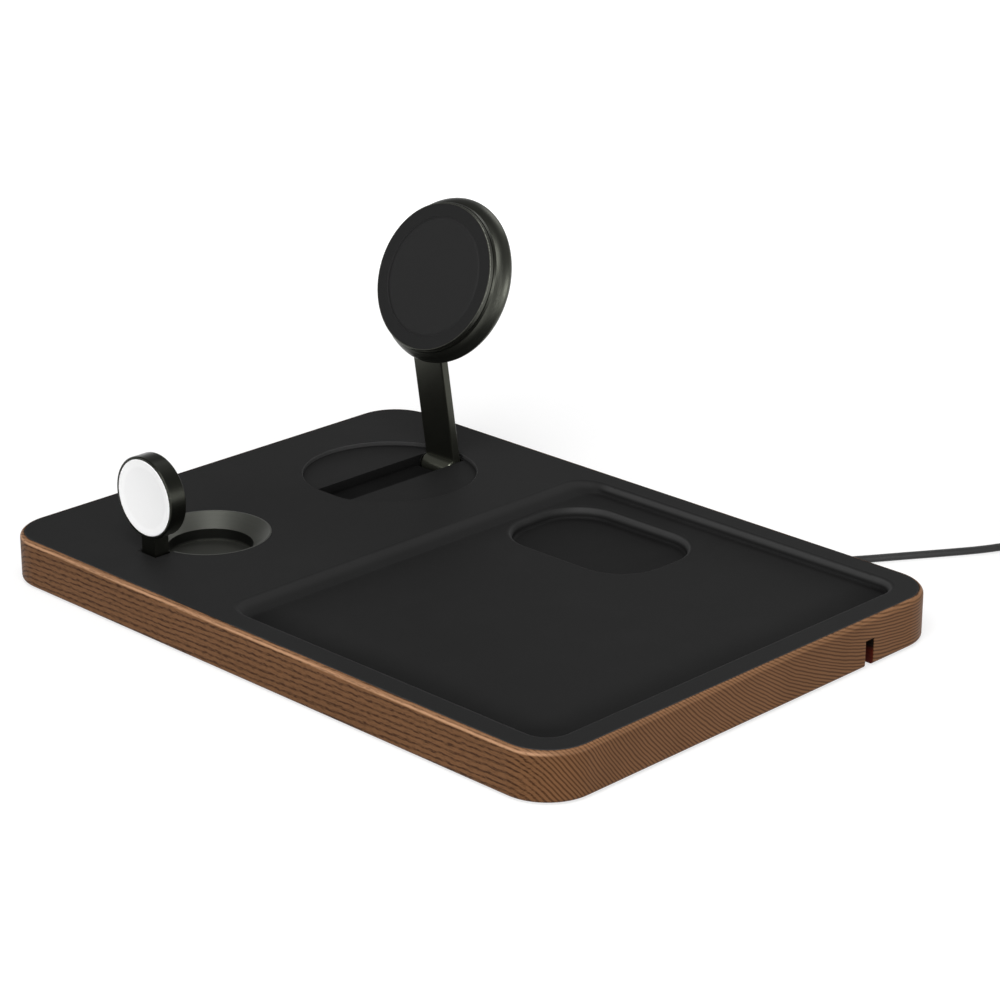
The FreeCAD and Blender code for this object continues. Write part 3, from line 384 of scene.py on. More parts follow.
@dataclass(frozen=True)
class SoftTopFinish(Finish):
    """Soft-touch black skin with a fine even grain, darker down in its recesses as painted shade."""

    name: str = "soft_touch_black"
    border: Colour = tone(30, 30, 30)
    # Tray floor, darker than the border as painted shade.
    floor: Colour = tone(27, 27, 27)
    # Darker still in the deep recesses, as painted shade.
    recess_shade: Colour = tone(23, 23, 23)
    # Darkest painted shade, along the tray's right and front walls and in their corner.
    corner: Colour = tone(15, 15, 15)
    # Pale tone of the painted highlight on rounded rims.
    rim_highlight: Colour = tone(66, 66, 66)
    # Painted shade on the steep walls of the cut-outs at the stations' end.
    cut: Colour = tone(19, 19, 19)
    station_end: Span = (-44.0 * MM, -40.0 * MM)
    tray_start: Span = (-21.0 * MM, -16.0 * MM)
    divider_end: Span = (-16.0 * MM, -9.0 * MM)
    right_wall: Span = (104.5 * MM, 121.5 * MM)
    front_wall: Span = (-83.5 * MM, -66.5 * MM)
    tray_depth: Span = (0.4 * MM, 3.4 * MM)
    recess_depth: Span = (4.2 * MM, 7.4 * MM)
    wall_shade_depth: Span = (2.4 * MM, 3.4 * MM)
    slot_depth: Span = (1.5 * MM, 1.75 * MM)
    rim_foot: Span = (1.0 * MM, 2.4 * MM)
    recess_rim: Span = (3.58 * MM, 3.7 * MM)
    recess_rim_foot: Span = (4.8 * MM, 6.6 * MM)
    grain_depth: float = 0.03 * MM
    roughness: float = 0.6
    specular: float = 0.06

    def paint(self, net: FinishNet) -> None:
        """Build the skin: faint clouds of tone over a fine grain, and a painted highlight on its rounded
        rims.

        Args:
            net: The material's net.
        """
        place = net.place()
        x, y, z = net.axes(place)
        depth = TRAY_TOP - z
        level = net.facing()[2].absolute()
        station = 1 - x.smooth(*self.station_end)
        # Painted shade on steep walls deep in the cut-outs at the stations' end.
        walls = (1 - level.smooth(0.05, 0.3)) * depth.smooth(*self.slot_depth) * station
        # Painted shade on the tray floor along its right and front walls, darkest in their corner.
        beside = x.smooth(*self.right_wall) + 1 - y.smooth(*self.front_wall)
        wall_shade = beside * depth.smooth(*self.wall_shade_depth) * x.smooth(*self.tray_start)
        # Painted highlight on the rounded rims of the top and of the recesses, weaker on the divider.
        divider = (1 - station) * (1 - x.smooth(*self.divider_end))
        upper = 1 - depth.smooth(*self.rim_foot)
        lower = depth.smooth(*self.recess_rim) * (1 - depth.smooth(*self.recess_rim_foot))
        rim = (1 - level.smooth(0.8, 0.998)) * (upper + lower) * (1 - divider * 0.7)
        cloud = net.noise(place, 38.0, 4.0, 0.6)
        grain = net.noise(place, 2600.0, 2.0)
        pebble = net.noise(place, 900.0, 2.0)
        # Painted shade: darker down in the tray and darker still in the deeper recesses.
        sunk = net.mix(self.border, self.floor, depth.smooth(*self.tray_depth))
        sunk = net.mix(sunk, self.recess_shade, depth.smooth(*self.recess_depth))
        sunk = net.mix(sunk, self.corner, wall_shade * 0.95)
        skin = net.mix(sunk, self.rim_highlight, cloud.smooth(0.45, 0.8) * 0.05 + grain * 0.05 + rim * 0.6)
        net.surface({
            "Base Color": net.mix(skin, self.cut, walls),
            "Roughness": self.roughness + (cloud - 0.5) * 0.1,
            "Specular IOR Level": self.specular,
            "Normal": net.bump(grain * 0.6 + pebble * 0.4, self.grain_depth, 0.5),
        })


@dataclass(frozen=True)
class SatinMetalFinish(Finish):
    """Dark anodised metal, turned or brushed, with a satin sheen."""

    name: str
    base: Colour
    turning: Optional[Turning] = None
    roughness: float = 0.3
    # Depths of the mouth and the floor of a bore darkened by painted shade.
    bore: Optional[Span] = None
    # Radii over which a painted highlight lightens the outer lip.
    lip: Optional[Span] = None
    # Height below which a painted highlight lightens the foot.
    foot: Optional[float] = None
    # Strength of the painted highlight.
    shine: float = 2.2
    tooling: float = 9000.0
    brushing: Place = (9000, 9000, 220)
    score: float = 0.004 * MM
    blur: float = 1.0 * MM
    mouth_blur: float = 0.2 * MM

    def paint(self, net: FinishNet) -> None:
        """Build the metal: tool lines round its axis or straight brushing, painted shade in a bore, a painted
        highlight on a lip or foot.

        Args:
            net: The material's net.
        """
        place = net.place()
        if self.turning:
            radius, depth = self.turning.radius_and_depth(net)
            lines = net.noise(net.vector(radius * self.tooling, depth * self.tooling, 0.0), 1.0, 2.0)
        else:
            lines = net.streaks(place, self.brushing, 2.0)
        cloud = net.noise(place, 90.0, 1.0)
        highlight = shaded(self.base, self.shine)
        metal = net.mix(self.base, shaded(self.base, 1.35), lines.smooth(0.3, 0.8) * 0.5 + cloud * 0.2)
        # Painted shade down the bore's wall, lifting a little at its floor.
        if self.bore:
            mouth, floor = self.bore
            rising = depth.smooth(floor, floor + self.blur)
            bore_shade = net.mix(shaded(self.base, 1.1), shaded(self.base, 0.25), rising)
            metal = net.mix(bore_shade, metal, depth.smooth(mouth - self.mouth_blur, mouth))
        # Painted highlight on the outer lip.
        if self.lip:
            metal = net.mix(metal, highlight, radius.smooth(*self.lip))
        # Painted highlight below the foot's height.
        if self.foot:
            height = net.axes(place)[2]
            metal = net.mix(highlight, metal, height.smooth(self.foot - self.blur, self.foot + self.blur))
        net.surface({
            "Base Color": metal,
            "Metallic": 0.9,
            "Roughness": self.roughness + (lines - 0.5) * 0.1 + (cloud - 0.5) * 0.03,
            "Normal": net.bump(lines, self.score, 0.2),
        })


@dataclass(frozen=True)
class PadFinish(Finish):
    """Matte silicone of the phone charging face."""

    name: str
    turning: Turning
    base: Colour = tone(37, 37, 37)
    band: Colour = tone(32, 32, 32)
    # Lighter tone of the painted highlight along the ridge.
    ridge_highlight: Colour = tone(46, 46, 46)
    step: Span = (21.4 * MM, 22.8 * MM)
    rise: float = 1.0 * MM

    def paint(self, net: FinishNet) -> None:
        """Build the silicone, with a soft ridge where its outer band starts, lighter there as a painted
        highlight.

        Args:
            net: The material's net.
        """
        radius, _ = self.turning.radius_and_depth(net)
        grain = net.noise(net.place(), 3000.0, 2.0)
        cloud = net.noise(net.place(), 70.0, 3.0)
        outer = radius.smooth(*self.step)
        ridge_highlight = outer * (1 - outer) * 4
        body = net.mix(net.mix(self.base, self.band, outer), self.band, cloud * 0.25)
        net.surface({
            "Base Color": net.mix(body, self.ridge_highlight, ridge_highlight * 0.3),
            "Roughness": 0.62 + (grain - 0.5) * 0.12,
            "Specular IOR Level": 0.1,
            "Normal": net.bump(1 - outer + grain * 0.015, self.rise, 0.6),
        })


@dataclass(frozen=True)
class WhiteFaceFinish(Finish):
    """Smooth white plastic of the watch charging face."""

    name: str
    turning: Turning
    base: Colour = tone(255, 255, 255)
    shade: Colour = tone(247, 247, 247)
    dish_edge: Span = (10.4 * MM, 11.6 * MM)

    def paint(self, net: FinishNet) -> None:
        """Build the plastic: a brighter band round a faintly greyer dish.

        Args:
            net: The material's net.
        """
        radius, _ = self.turning.radius_and_depth(net)
        haze = net.noise(net.place(), 160.0, 3.0)
        dish = 1 - radius.smooth(*self.dish_edge)
        net.surface({
            "Base Color": net.mix(self.base, self.shade, dish * 0.7 + haze * 0.1),
            "Roughness": 0.42 + (haze - 0.5) * 0.08,
            "Specular IOR Level": 0.3,
        })


@dataclass(frozen=True)
class MouldedFinish(Finish):
    """Moulded plastic or rubber with a spark-eroded grain."""

    name: str
    base: Colour
    roughness: float = 0.55
    grain: float = 1800.0
    depth: float = 0.03 * MM
    specular: float = 0.2
    flow_scale: Place = (30, 55, 30)

    def paint(self, net: FinishNet) -> None:
        """Build the plastic: an even fine grain and faint flow marks.

        Args:
            net: The material's net.
        """
        place = net.place()
        grain = net.noise(place, self.grain, 2.0)
        flow = net.streaks(place, self.flow_scale, 3.0)
        marks = flow.smooth(0.35, 0.8) * 0.6 + grain * 0.15
        net.surface({
            "Base Color": net.mix(self.base, shaded(self.base, 1.4), marks),
            "Roughness": self.roughness + (grain - 0.5) * 0.14,
            "Specular IOR Level": self.specular,
            "Normal": net.bump(grain, self.depth, 0.5),
        })


@dataclass(frozen=True)
class FerriteFinish(MouldedFinish):
    """Sintered dark grey ferrite with a dull fine grain."""

    base: Colour = tone(62, 62, 66)
    roughness: float = 0.75
    grain: float = 2600.0


@dataclass(frozen=True)
class WebbingFinish(Finish):
    """Woven strap that ties the put-away cable, turned about the upright axis."""

    name: str
    turn: float
    base: Colour = tone(38, 38, 38)
    thread: Colour = tone(58, 58, 58)
    rib: float = 0.8 * MM
    rise: float = 0.12 * MM

    def paint(self, net: FinishNet) -> None:
        """Build the weave: ribs across the strap and threads along it.

        Args:
            net: The material's net.
        """
        x, y, z = net.axes(net.place())
        along = x * math.cos(self.turn) + y * math.sin(self.turn) + z
        across = y * math.cos(self.turn) - x * math.sin(self.turn)
        ribs = (along * (math.tau / self.rib)).sine() * 0.5 + 0.5
        threads = (across * (math.tau / self.rib)).sine() * 0.5 + 0.5
        weave = ribs * 0.6 + threads * 0.4
        fuzz = net.noise(net.place(), 2400.0, 3.0)
        net.surface({
            "Base Color": net.mix(self.base, self.thread, weave * 0.6 + fuzz * 0.4),
            "Roughness": 0.85 + (fuzz - 0.5) * 0.2,
            "Specular IOR Level": 0.15,
            "Normal": net.bump(weave * 0.8 + fuzz * 0.2, self.rise, 0.7),
        })


@dataclass(frozen=True)
class SteelFinish(Finish):
    """Ground steel of pins, screws and connector shells."""

    name: str
    base: Colour = tone(172, 172, 174)
    roughness: float = 0.3
    grinding: Place = (700, 9000, 9000)
    score: float = 0.006 * MM

    def paint(self, net: FinishNet) -> None:
        """Build the steel: grinding lines and a little tarnish.

        Args:
            net: The material's net.
        """
        place = net.place()
        lines = net.streaks(place, self.grinding, 2.0)
        tarnish = net.noise(place, 260.0, 4.0, 0.6)
        net.surface({
            "Base Color": net.mix(self.base, shaded(self.base, 0.72), tarnish.smooth(0.45, 0.8)),
            "Metallic": 1.0,
            "Roughness": self.roughness + (lines - 0.5) * 0.2,
            "Normal": net.bump(lines, self.score, 0.4),
        })


@dataclass(frozen=True)
class WindingFinish(Finish):
    """Enamelled copper wire wound in a flat spiral."""

    name: str
    turning: Turning
    wire: float = 0.55 * MM
    rise: float = 0.25 * MM
    copper: Colour = tone(186, 112, 66)
    # Painted shade in the grooves between the wires.
    groove_shade: Colour = tone(58, 30, 18)

    def paint(self, net: FinishNet) -> None:
        """Build the winding: round wires side by side round the axis, darker between them as painted shade.

        Args:
            net: The material's net.
        """
        radius, _ = self.turning.radius_and_depth(net)
        across = (radius / self.wire).fraction() - 0.5
        crown = (1 - across * across * 4).root()
        sheen = net.noise(net.place(), 300.0, 2.0)
        net.surface({
            "Base Color": net.mix(self.groove_shade, self.copper, crown.smooth(0.1, 0.75) * (0.8 + sheen * 0.3)),
            "Metallic": 0.9,
            "Roughness": 0.34 + (sheen - 0.5) * 0.1,
            "Normal": net.bump(crown, self.rise, 0.8),
        })


@dataclass(frozen=True)
class BoardFinish(Finish):
    """Green solder mask over copper tracks."""

    name: str
    mask: Colour = tone(22, 78, 46)
    track: Colour = tone(34, 104, 60)
    pad: Colour = tone(196, 170, 96)
    track_scale: float = 220.0
    pad_scale: float = 330.0
    track_rise: float = 0.03 * MM

    def paint(self, net: FinishNet) -> None:
        """Build the board: tracks under the mask and bare pads.

        Args:
            net: The material's net.
        """
        place = net.place()
        spread = net.vector_math("MULTIPLY", place, (self.track_scale,) * 3)
        lanes = net.node("ShaderNodeTexBrick", {"offset": 0.37}, {
            "Vector": spread, "Scale": 1.0, "Mortar Size": 0.03,
            "Brick Width": 1.7, "Row Height": 0.4}, "Fac")
        dots = net.node("ShaderNodeTexVoronoi", {}, {"Vector": place, "Scale": self.pad_scale}, "Distance")
        bare = 1 - dots.smooth(0.12, 0.16)
        net.surface({
            "Base Color": net.mix(net.mix(self.mask, self.track, lanes), self.pad, bare),
            "Metallic": bare,
            "Roughness": 0.4 - bare * 0.12,
            "Normal": net.bump(lanes, self.track_rise, 0.5),
        })


class SubAssembly:
    """A group of pieces that are built and dressed together."""

    def dress(self, finish: Finish, *nodes: str) -> bpy.types.Material:
        """Give carried-over nodes a finish.

        Args:
            finish: The finish.
            nodes: The nodes' names.

        Returns:
            The finish as a material.
        """
        material = finish.finished()
        for node in nodes:
            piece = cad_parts[node]
            piece.data.materials.clear()
            piece.data.materials.append(material)
            LOG.info("dressed %s in %s", node, material.name)
        return material

    def mesh_piece(self, name: str, points: Sequence[Vector], faces: Faces,
                   material: bpy.types.Material, body: str, slot: str) -> bpy.types.Object:
        """Make a smooth mesh piece that rides on a body.

        Args:
            name: The piece's name.
            points: Its corners in metres, in the shared frame.
            faces: Corners of each face.
            material: Its finish.
            body: The body that it moves with.
            slot: Not used.

        Returns:
            The piece.
        """
        mesh = bpy.data.meshes.new(name)
        mesh.from_pydata([tuple(point) for point in points], [], faces)
        mesh.materials.append(material)
        mesh.shade_smooth()
        piece = bpy.data.objects.new(name, mesh)
        SCENE.collection.objects.link(piece)
        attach(piece, body)
        LOG.info("made %s with %d faces", name, len(faces))
        return piece


@dataclass
class Tray(SubAssembly):
    """The wooden frame and the soft black top let into it."""

    def build(self) -> None:
        """Dress the wood and the top."""
        self.dress(WoodFinish(), "wood_base")
        self.dress(SoftTopFinish(), "top_panel")


@dataclass
class PhoneStation(SubAssembly):
    """The fold-up arm, its cradle and the phone charging disc."""

    centre: Place = (-79.5 * MM, 64.157 * MM, 88.549 * MM)
    axis: Place = (0.0, -0.91636, 0.40035)
    shell: Colour = tone(55, 56, 51)
    rim: Colour = tone(80, 81, 75)
    arm: Colour = tone(64, 65, 58)
    cradle: Colour = tone(18, 18, 18)
    washer: Colour = tone(62, 62, 60)
    # Radii and strength of the painted highlight on the disc's outer lip.
    lip: Span = (29.9 * MM, 31.0 * MM)
    lip_shine: float = 1.8
    # Height below which the arm's hinge barrel gets a painted highlight.
    barrel_top: float = 17.0 * MM

    def build(self) -> None:
        """Dress the arm, the disc and what they hold."""
        turning = Turning(self.centre, self.axis)
        shell = SatinMetalFinish("disc_metal", self.shell, turning, 0.36, lip=self.lip, shine=self.lip_shine)
        self.dress(shell, "disc_shell")
        self.dress(SatinMetalFinish("rim_metal", self.rim, turning, 0.34), "disc_rim")
        arm = SatinMetalFinish("arm_metal", self.arm, foot=self.barrel_top)
        self.dress(arm, "phone_arm", "disc_hinge_lug")
        self.dress(PadFinish("matte_silicone", turning), "disc_pad")
        self.dress(MouldedFinish("cradle_black", self.cradle, 0.7, specular=0.04), "arm_cradle")
        self.dress(SteelFinish("hinge_steel"), "cradle_screws", "disc_magnets", "disc_hinge_pin")
        self.dress(SteelFinish("blackened_steel", self.washer, 0.45), "arm_hinge_pin", "arm_washers")
        self.dress(WindingFinish("disc_winding", turning), "disc_coil")
        self.dress(FerriteFinish("disc_sintered"), "disc_ferrite")
        self.dress(BoardFinish("disc_solder_mask"), "disc_board")


@dataclass
class WatchStation(SubAssembly):
    """The flip-up watch puck and the turned well that it folds into."""

    face_centre: Place = (-79.5 * MM, -75.45 * MM, 38.75 * MM)
    face_axis: Place = (0.0, -1.0, 0.0)
    well_centre: Place = (-79.5 * MM, -46.4 * MM, 18.0 * MM)
    face_radius: float = 13.8 * MM
    face_thick: float = 1.6 * MM
    face_dish: float = 0.8 * MM
    rim_round: float = 0.25 * MM
    rim_steps: int = 4
    rings: int = 28
    spokes: int = 144
    shell: Colour = tone(44, 45, 40)
    well: Colour = tone(88, 89, 84)
    # Depths of the well's bore, darkened by painted shade.
    bore: Span = (-4.6 * MM, -8.9 * MM)

    def build(self) -> None:
        """Dress the puck and the well and set the white face in its rim."""
        turning = Turning(self.face_centre, self.face_axis)
        well = Turning(self.well_centre, UP)
        self.dress(SatinMetalFinish("puck_metal", self.shell, turning), "watch_shell")
        self.dress(SatinMetalFinish("well_metal", self.well, well, 0.46, self.bore), "watch_well")
        self.dress(SteelFinish("watch_steel"), "watch_hinge_pin", "watch_magnet")
        self.dress(WindingFinish("watch_winding", turning), "watch_coil")
        self.dress(FerriteFinish("watch_sintered"), "watch_ferrite")
        self._dish(self.dress(WhiteFaceFinish("white_plastic", turning), "watch_face"))

    def _dish(self, white: bpy.types.Material) -> None:
        """Turn the white face: a shallow dish with a softly rounded rim.

        Args:
            white: The face's finish.
        """
        flat = self.face_radius - self.rim_round
        profile = [(flat * i / self.rings, self.face_dish * (1 - (i / self.rings) ** 2))
                   for i in range(1, self.rings + 1)]
        for i in range(1, self.rim_steps + 1):
            angle = math.pi / 2 * i / self.rim_steps
            drop = self.rim_round * (1 - math.cos(angle))
            profile.append((flat + self.rim_round * math.sin(angle), drop))
        profile.append((self.face_radius, self.face_thick))
        points = [self._at(0.0, 0.0, self.face_dish)]
        for radius, depth in profile:
            points += [self._at(radius, math.tau * k / self.spokes, depth) for k in range(self.spokes)]
        points.append(self._at(0.0, 0.0, self.face_thick))
        faces: Faces = []
        last = len(profile) - 1
        for k in range(self.spokes):
            after = (k + 1) % self.spokes
            faces.append((0, 1 + k, 1 + after))
            for i in range(last):
                low, high = 1 + i * self.spokes, 1 + (i + 1) * self.spokes
                faces.append((low + k, high + k, high + after, low + after))
            faces.append((1 + last * self.spokes + k, len(points) - 1, 1 + last * self.spokes + after))
        face = self.mesh_piece("white_dish", points, faces, white, "watch", "white_face")
        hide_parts("watch_face")

    def _at(self, radius: float, angle: float, depth: float) -> Vector:
        """Place on the face by its radius, its angle and its depth behind the rim."""
        return Vector(self.face_centre) + Vector((radius * math.cos(angle), depth, radius * math.sin(angle)))


@dataclass
class Underside(SubAssembly):
    """The cover, its feet and screws, the electronics and the earbud coil."""

    cover: Colour = tone(38, 38, 38)
    foot: Colour = tone(34, 34, 34)
    chips: Colour = tone(46, 46, 48)
    head_radius: float = 2.38 * MM
    head_rise: float = 0.4 * MM
    head_flatness: float = 0.05 * MM
    apart_share: float = 3.0
    dome_shares: Tuple[Span, ...] = ((1.0, 0.0), (0.98, 0.35), (0.9, 0.7), (0.76, 0.93), (0.6, 1.0))
    socket: float = 1.3 * MM
    spokes: int = 36
    crease: float = 40.0

    def build(self) -> None:
        """Dress everything under the top and round the screws' heads."""
        low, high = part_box("earbud_coil")
        turning = Turning(tuple((low + high) / 2), UP)
        self.dress(MouldedFinish("moulded_black", self.cover), "bottom_cover")
        self.dress(MouldedFinish("foot_rubber", self.foot, 0.8, 2200.0, 0.05 * MM, 0.12), "rubber_feet")
        steel = self.dress(SteelFinish("screw_steel"), "cover_screws", "board_screws", "usb_socket")
        self._button_heads(steel)
        self.dress(BoardFinish("solder_mask"), "main_board")
        self.dress(MouldedFinish("component_black", self.chips, 0.45, 2400.0, 0.015 * MM), "board_components")
        self.dress(WindingFinish("earbud_winding", turning), "earbud_coil")
        self.dress(FerriteFinish("earbud_sintered"), "earbud_ferrite")

    def screw_places(self) -> List[Vector]:
        """Find the cover's screws.

        Returns:
            Middle of each screw's flat head, on its underside.
        """
        corners = [vertex.co.copy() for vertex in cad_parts["cover_screws"].data.vertices]
        low = min(corner.z for corner in corners)
        heads: List[List[Vector]] = []
        apart = self.apart_share * self.head_radius
        for corner in corners:
            if corner.z > low + self.head_flatness:
                continue
            near = [head for head in heads if (head[0] - corner).length < apart]
            if near:
                near[0].append(corner)
            else:
                heads.append([corner])
        return [Vector(((min(c.x for c in head) + max(c.x for c in head)) / 2,
                        (min(c.y for c in head) + max(c.y for c in head)) / 2, low)) for head in heads]

    def _button_heads(self, steel: bpy.types.Material) -> None:
        """Round each cover screw's head and sink a hexagon socket in it.

        Args:
            steel: The screws' finish.
        """
        sixth = math.pi / 3
        turns = [math.tau * k / self.spokes for k in range(self.spokes)]
        flats = [math.cos(sixth / 2) / math.cos(turn % sixth - sixth / 2) for turn in turns]
        rings = [[(wide * self.head_radius, high * self.head_rise) for _ in turns]
                 for wide, high in self.dome_shares]
        rings += [[(self.socket * flat, drop) for flat in flats] for drop in (self.head_rise, 0.0)]
        head = [Vector((radius * math.cos(turn), radius * math.sin(turn), -drop))
                for ring in rings for turn, (radius, drop) in zip(turns, ring)]
        points: List[Vector] = []
        faces: Faces = []
        for place in self.screw_places():
            first = len(points)
            points += [place + corner for corner in head]
            for i in range(len(rings)):
                here, there = first + i * self.spokes, first + (i + 1) % len(rings) * self.spokes
                for k in range(self.spokes):
                    after = (k + 1) % self.spokes
                    faces.append((here + k, there + k, there + after, here + after))
        heads = self.mesh_piece("screw_heads", points, faces, steel, "base", "steel")
        heads.data.set_sharp_from_angle(angle=math.radians(self.crease))


@dataclass
class SupplyCable(SubAssembly):
    """The supply cable: out of the plug, along the floor, wound up, and round to the far plug."""

    diameter: float = 2.8 * MM
    length: float = 1.513
    floor: float = 1.42 * MM
    raised: float = 2.47 * MM
    plug_height: float = 2.92 * MM
    pitch: float = 3.3 * MM
    layer: float = 3.25 * MM
    climb_room: float = 0.6 * MM
    outer: float = 21.1 * MM
    half_turns: Tuple[int, ...] = (6, 6, 6, 5)
    points_per_half: int = 8
    first_run: float = 8.0 * MM
    line_steps: int = 5
    round_steps: int = 4
    tie_width: float = 9.0 * MM
    tie_thick: float = 0.7 * MM
    tie_edge: float = 0.3 * MM
    tie_edge_shares: Span = (0.3, 0.7)
    tie_round: float = 2.0 * MM
    tie_clearance: float = 0.35 * MM
    tie_turn: float = 265.0
    tie_overlap: float = 13.0 * MM
    tie_ramp: float = 4.0 * MM
    tie_lift_share: float = 1.05
    tie_steps: int = 96
    jacket: Colour = tone(46, 46, 46)
    grip: Colour = tone(38, 38, 38)

    def build(self) -> None:
        """Lay the cable, tie its coil and dress its plugs."""
        jacket = MouldedFinish("cable_jacket", self.jacket, 0.45, 1500.0, 0.02 * MM, 0.25).finished()
        self.dress(MouldedFinish("plug_black", self.grip), "plug_grip", "far_grip")
        self.dress(SteelFinish("plug_steel"), "plug_tip", "far_tip")
        self._cable(jacket, self._strap())

    def lead(self) -> List[Vector]:
        """Route from the plug to the coil.

        Returns:
            Its points.
        """
        low, up = self.floor / MM, self.raised / MM
        route = [(62.0, 69.3, 6.63), (62.0, 79.0, 6.63), (62.05, 89.0, 5.5), (62.3, 99.5, 3.1),
                 (64.4, 110.0, low), (69.8, 120.2, low), (76.7, 130.1, low), (83.9, 141.1, low),
                 (93.0, 154.6, low), (101.8, 168.3, low), (109.9, 182.4, up), (116.2, 196.4, up)]
        return [Vector(point) * MM for point in route]

    def heading(self) -> Vector:
        """Direction in which the cable runs into the coil."""
        lead = self.lead()
        return (lead[-1] - lead[-2]).normalized()

    def round_coil(self, radius: float, turn: float, height: float) -> Vector:
        """Place round the coil's middle.

        Args:
            radius: Distance from the middle.
            turn: Angle clockwise past the coil's start, in degrees.
            height: Height above the floor.

        Returns:
            The place.
        """
        ahead = self.heading()
        inward = Vector((ahead.y, -ahead.x, 0))
        middle = self.lead()[-1] + ahead * self.diameter + inward * self.outer
        angle = math.radians(turn)
        way = -inward * math.cos(angle) + ahead * math.sin(angle)
        return Vector((middle.x, middle.y, height)) + way * radius

    def stations(self) -> List[Span]:
        """Step round the coil by half turns, in and out again layer by layer.

        Returns:
            Radius and height at each half turn.
        """
        radius, height, step = self.outer, self.raised, -self.pitch / 2
        found = [(radius, height)]
        for layer, count in enumerate(self.half_turns, start=1):
            for _ in range(count):
                radius += step
                found.append((radius, height))
            if layer < len(self.half_turns):
                swing = radius + math.copysign(self.climb_room, step)
                found[-1] = (swing, height)
                height += self.layer
                found.append((swing, height))
                step = -step
        return found

    def coil(self) -> List[Vector]:
        """Wind the put-away length.

        Returns:
            Its points, several for each half turn.
        """
        points = []
        # The smooth line passes inside its points, so these stand further out.
        swell = 8 / (6 + 2 * math.cos(math.pi / self.points_per_half))
        stations = self.stations()
        for half, (start, end) in enumerate(zip(stations, stations[1:])):
            for i in range(self.points_per_half):
                share = i / self.points_per_half
                eased = (1 - math.cos(math.pi * share)) / 2
                radius = start[0] + (end[0] - start[0]) * eased
                height = start[1] + (end[1] - start[1]) * eased
                points.append(self.round_coil(radius * swell, 180 * (half + share), height))
        return points

    def tail(self) -> List[Vector]:
        """Route from the coil's end down to the far plug.

        Returns:
            Its points.
        """
        radius, height = self.stations()[-1]
        end = self.round_coil(radius, 180 * (len(self.stations()) - 1), height)
        ahead = self.heading()
        start = end + ahead * self.diameter
        plug = self.plug_height / MM
        places = [(25.2, 55.0, 11.6), (28.6, 78.0, 9.4), (30.6, 100.0, 6.4), (31.2, 122.0, 4.0),
                  (31.4, 144.0, plug), (31.4, 166.0, plug)]
        bends = [self.round_coil(out * MM, turn, up * MM) for out, turn, up in places]
        return [start, start + ahead * self.first_run] + bends

    def _cable(self, jacket: bpy.types.Material, strap: bpy.types.Object) -> None:
        """Lay the cable as one smooth curve.

        Args:
            jacket: The cable's finish.
            strap: Not used.
        """
        curve = bpy.data.curves.new("supply_cable", "CURVE")
        curve.dimensions = "3D"
        spline = curve.splines.new("NURBS")
        points = self.lead() + self.coil()[1:] + self.tail()
        spline.points.add(len(points) - 1)
        for slot, point in zip(spline.points, points):
            slot.co = (*point, 1.0)
        spline.order_u = 3
        spline.use_endpoint_u = True
        spline.resolution_u = self.line_steps
        curve.bevel_depth = self.diameter / 2
        curve.bevel_resolution = self.round_steps
        curve.use_fill_caps = True
        cable = bpy.data.objects.new("supply_cable", curve)
        SCENE.collection.objects.link(cable)
        curve.materials.append(jacket)
        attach(cable, "base")
        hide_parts("cable_lead", "cable_coil", "cable_tail")
        LOG.info("laid the cable through %d points", len(points))

    def _strap(self) -> bpy.types.Object:
        """Wrap a woven strap round the coil's turns, its end laid over its start.

        Returns:
            The strap.
        """
        middle = self.round_coil(0.0, 0.0, 0.0)
        way = (self.round_coil(1.0, self.tie_turn, 0.0) - middle).normalized()
        side = Vector((-way.y, way.x, 0.0))
        loop = self._strap_loop()
        half = self.tie_width / 2
        flat = half - self.tie_edge
        thick = self.tie_thick
        low, high = (thick * share for share in self.tie_edge_shares)
        section = [(-flat, 0.0), (flat, 0.0), (half, low), (half, high),
                   (flat, thick), (-flat, thick), (-half, high), (-half, low)]
        points: List[Vector] = []
        for spot, out in loop:
            for across, up in section:
                reach = spot + out * up
                points.append(middle + way * reach.x + Vector((0.0, 0.0, reach.y)) + side * across)
        count = len(section)
        faces: Faces = []
        for i in range(len(loop) - 1):
            here, there = i * count, (i + 1) * count
            for k in range(count):
                after = (k + 1) % count
                faces.append((here + k, here + after, there + after, there + k))
        faces.append(tuple(reversed(range(count))))
        faces.append(tuple(range((len(loop) - 1) * count, len(loop) * count)))
        finish = WebbingFinish("strap_webbing", math.atan2(way.y, way.x)).finished()
        strap = self.mesh_piece("coil_strap", points, faces, finish, "base", "cable_jacket")
        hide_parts("coil_tie")
        return strap

    def _strap_loop(self) -> List[Tuple[Vector, Vector]]:
        """The strap's inner line round the turns' section, once round and over its own start.

        Returns:
            Each place as distance from the coil's middle and height, with its outward direction.
        """
        stations = self.stations()
        around = self.diameter / 2 + self.tie_clearance
        bore = min(radius for radius, _ in stations) - self.diameter / 2
        inner = math.sqrt(bore ** 2 - (self.tie_width / 2) ** 2) - self.tie_clearance
        outer = max(radius for radius, _ in stations) + around
        low, high = stations[0][1] - around, stations[-1][1] + around
        bend = self.tie_round - self.tie_thick
        wide, tall = outer - inner - 2 * bend, high - low - 2 * bend
        quarter = math.pi / 2 * bend
        runs = [wide, quarter, tall, quarter] * 2
        corners = [Vector(place) for place in ((outer, high), (outer, low), (inner, low), (inner, high))]
        total = sum(runs)
        found = []
        for step in range(self.tie_steps + 1):
            travelled = (total + self.tie_overlap) * step / self.tie_steps
            lifted = max(0.0, min(1.0, (travelled - total + self.tie_ramp) / self.tie_ramp))
            lift = lifted * lifted * (3 - 2 * lifted) * self.tie_thick * self.tie_lift_share
            spot, out = self._on_loop(travelled % total, runs, corners, bend)
            found.append((spot + out * lift, out))
        return found

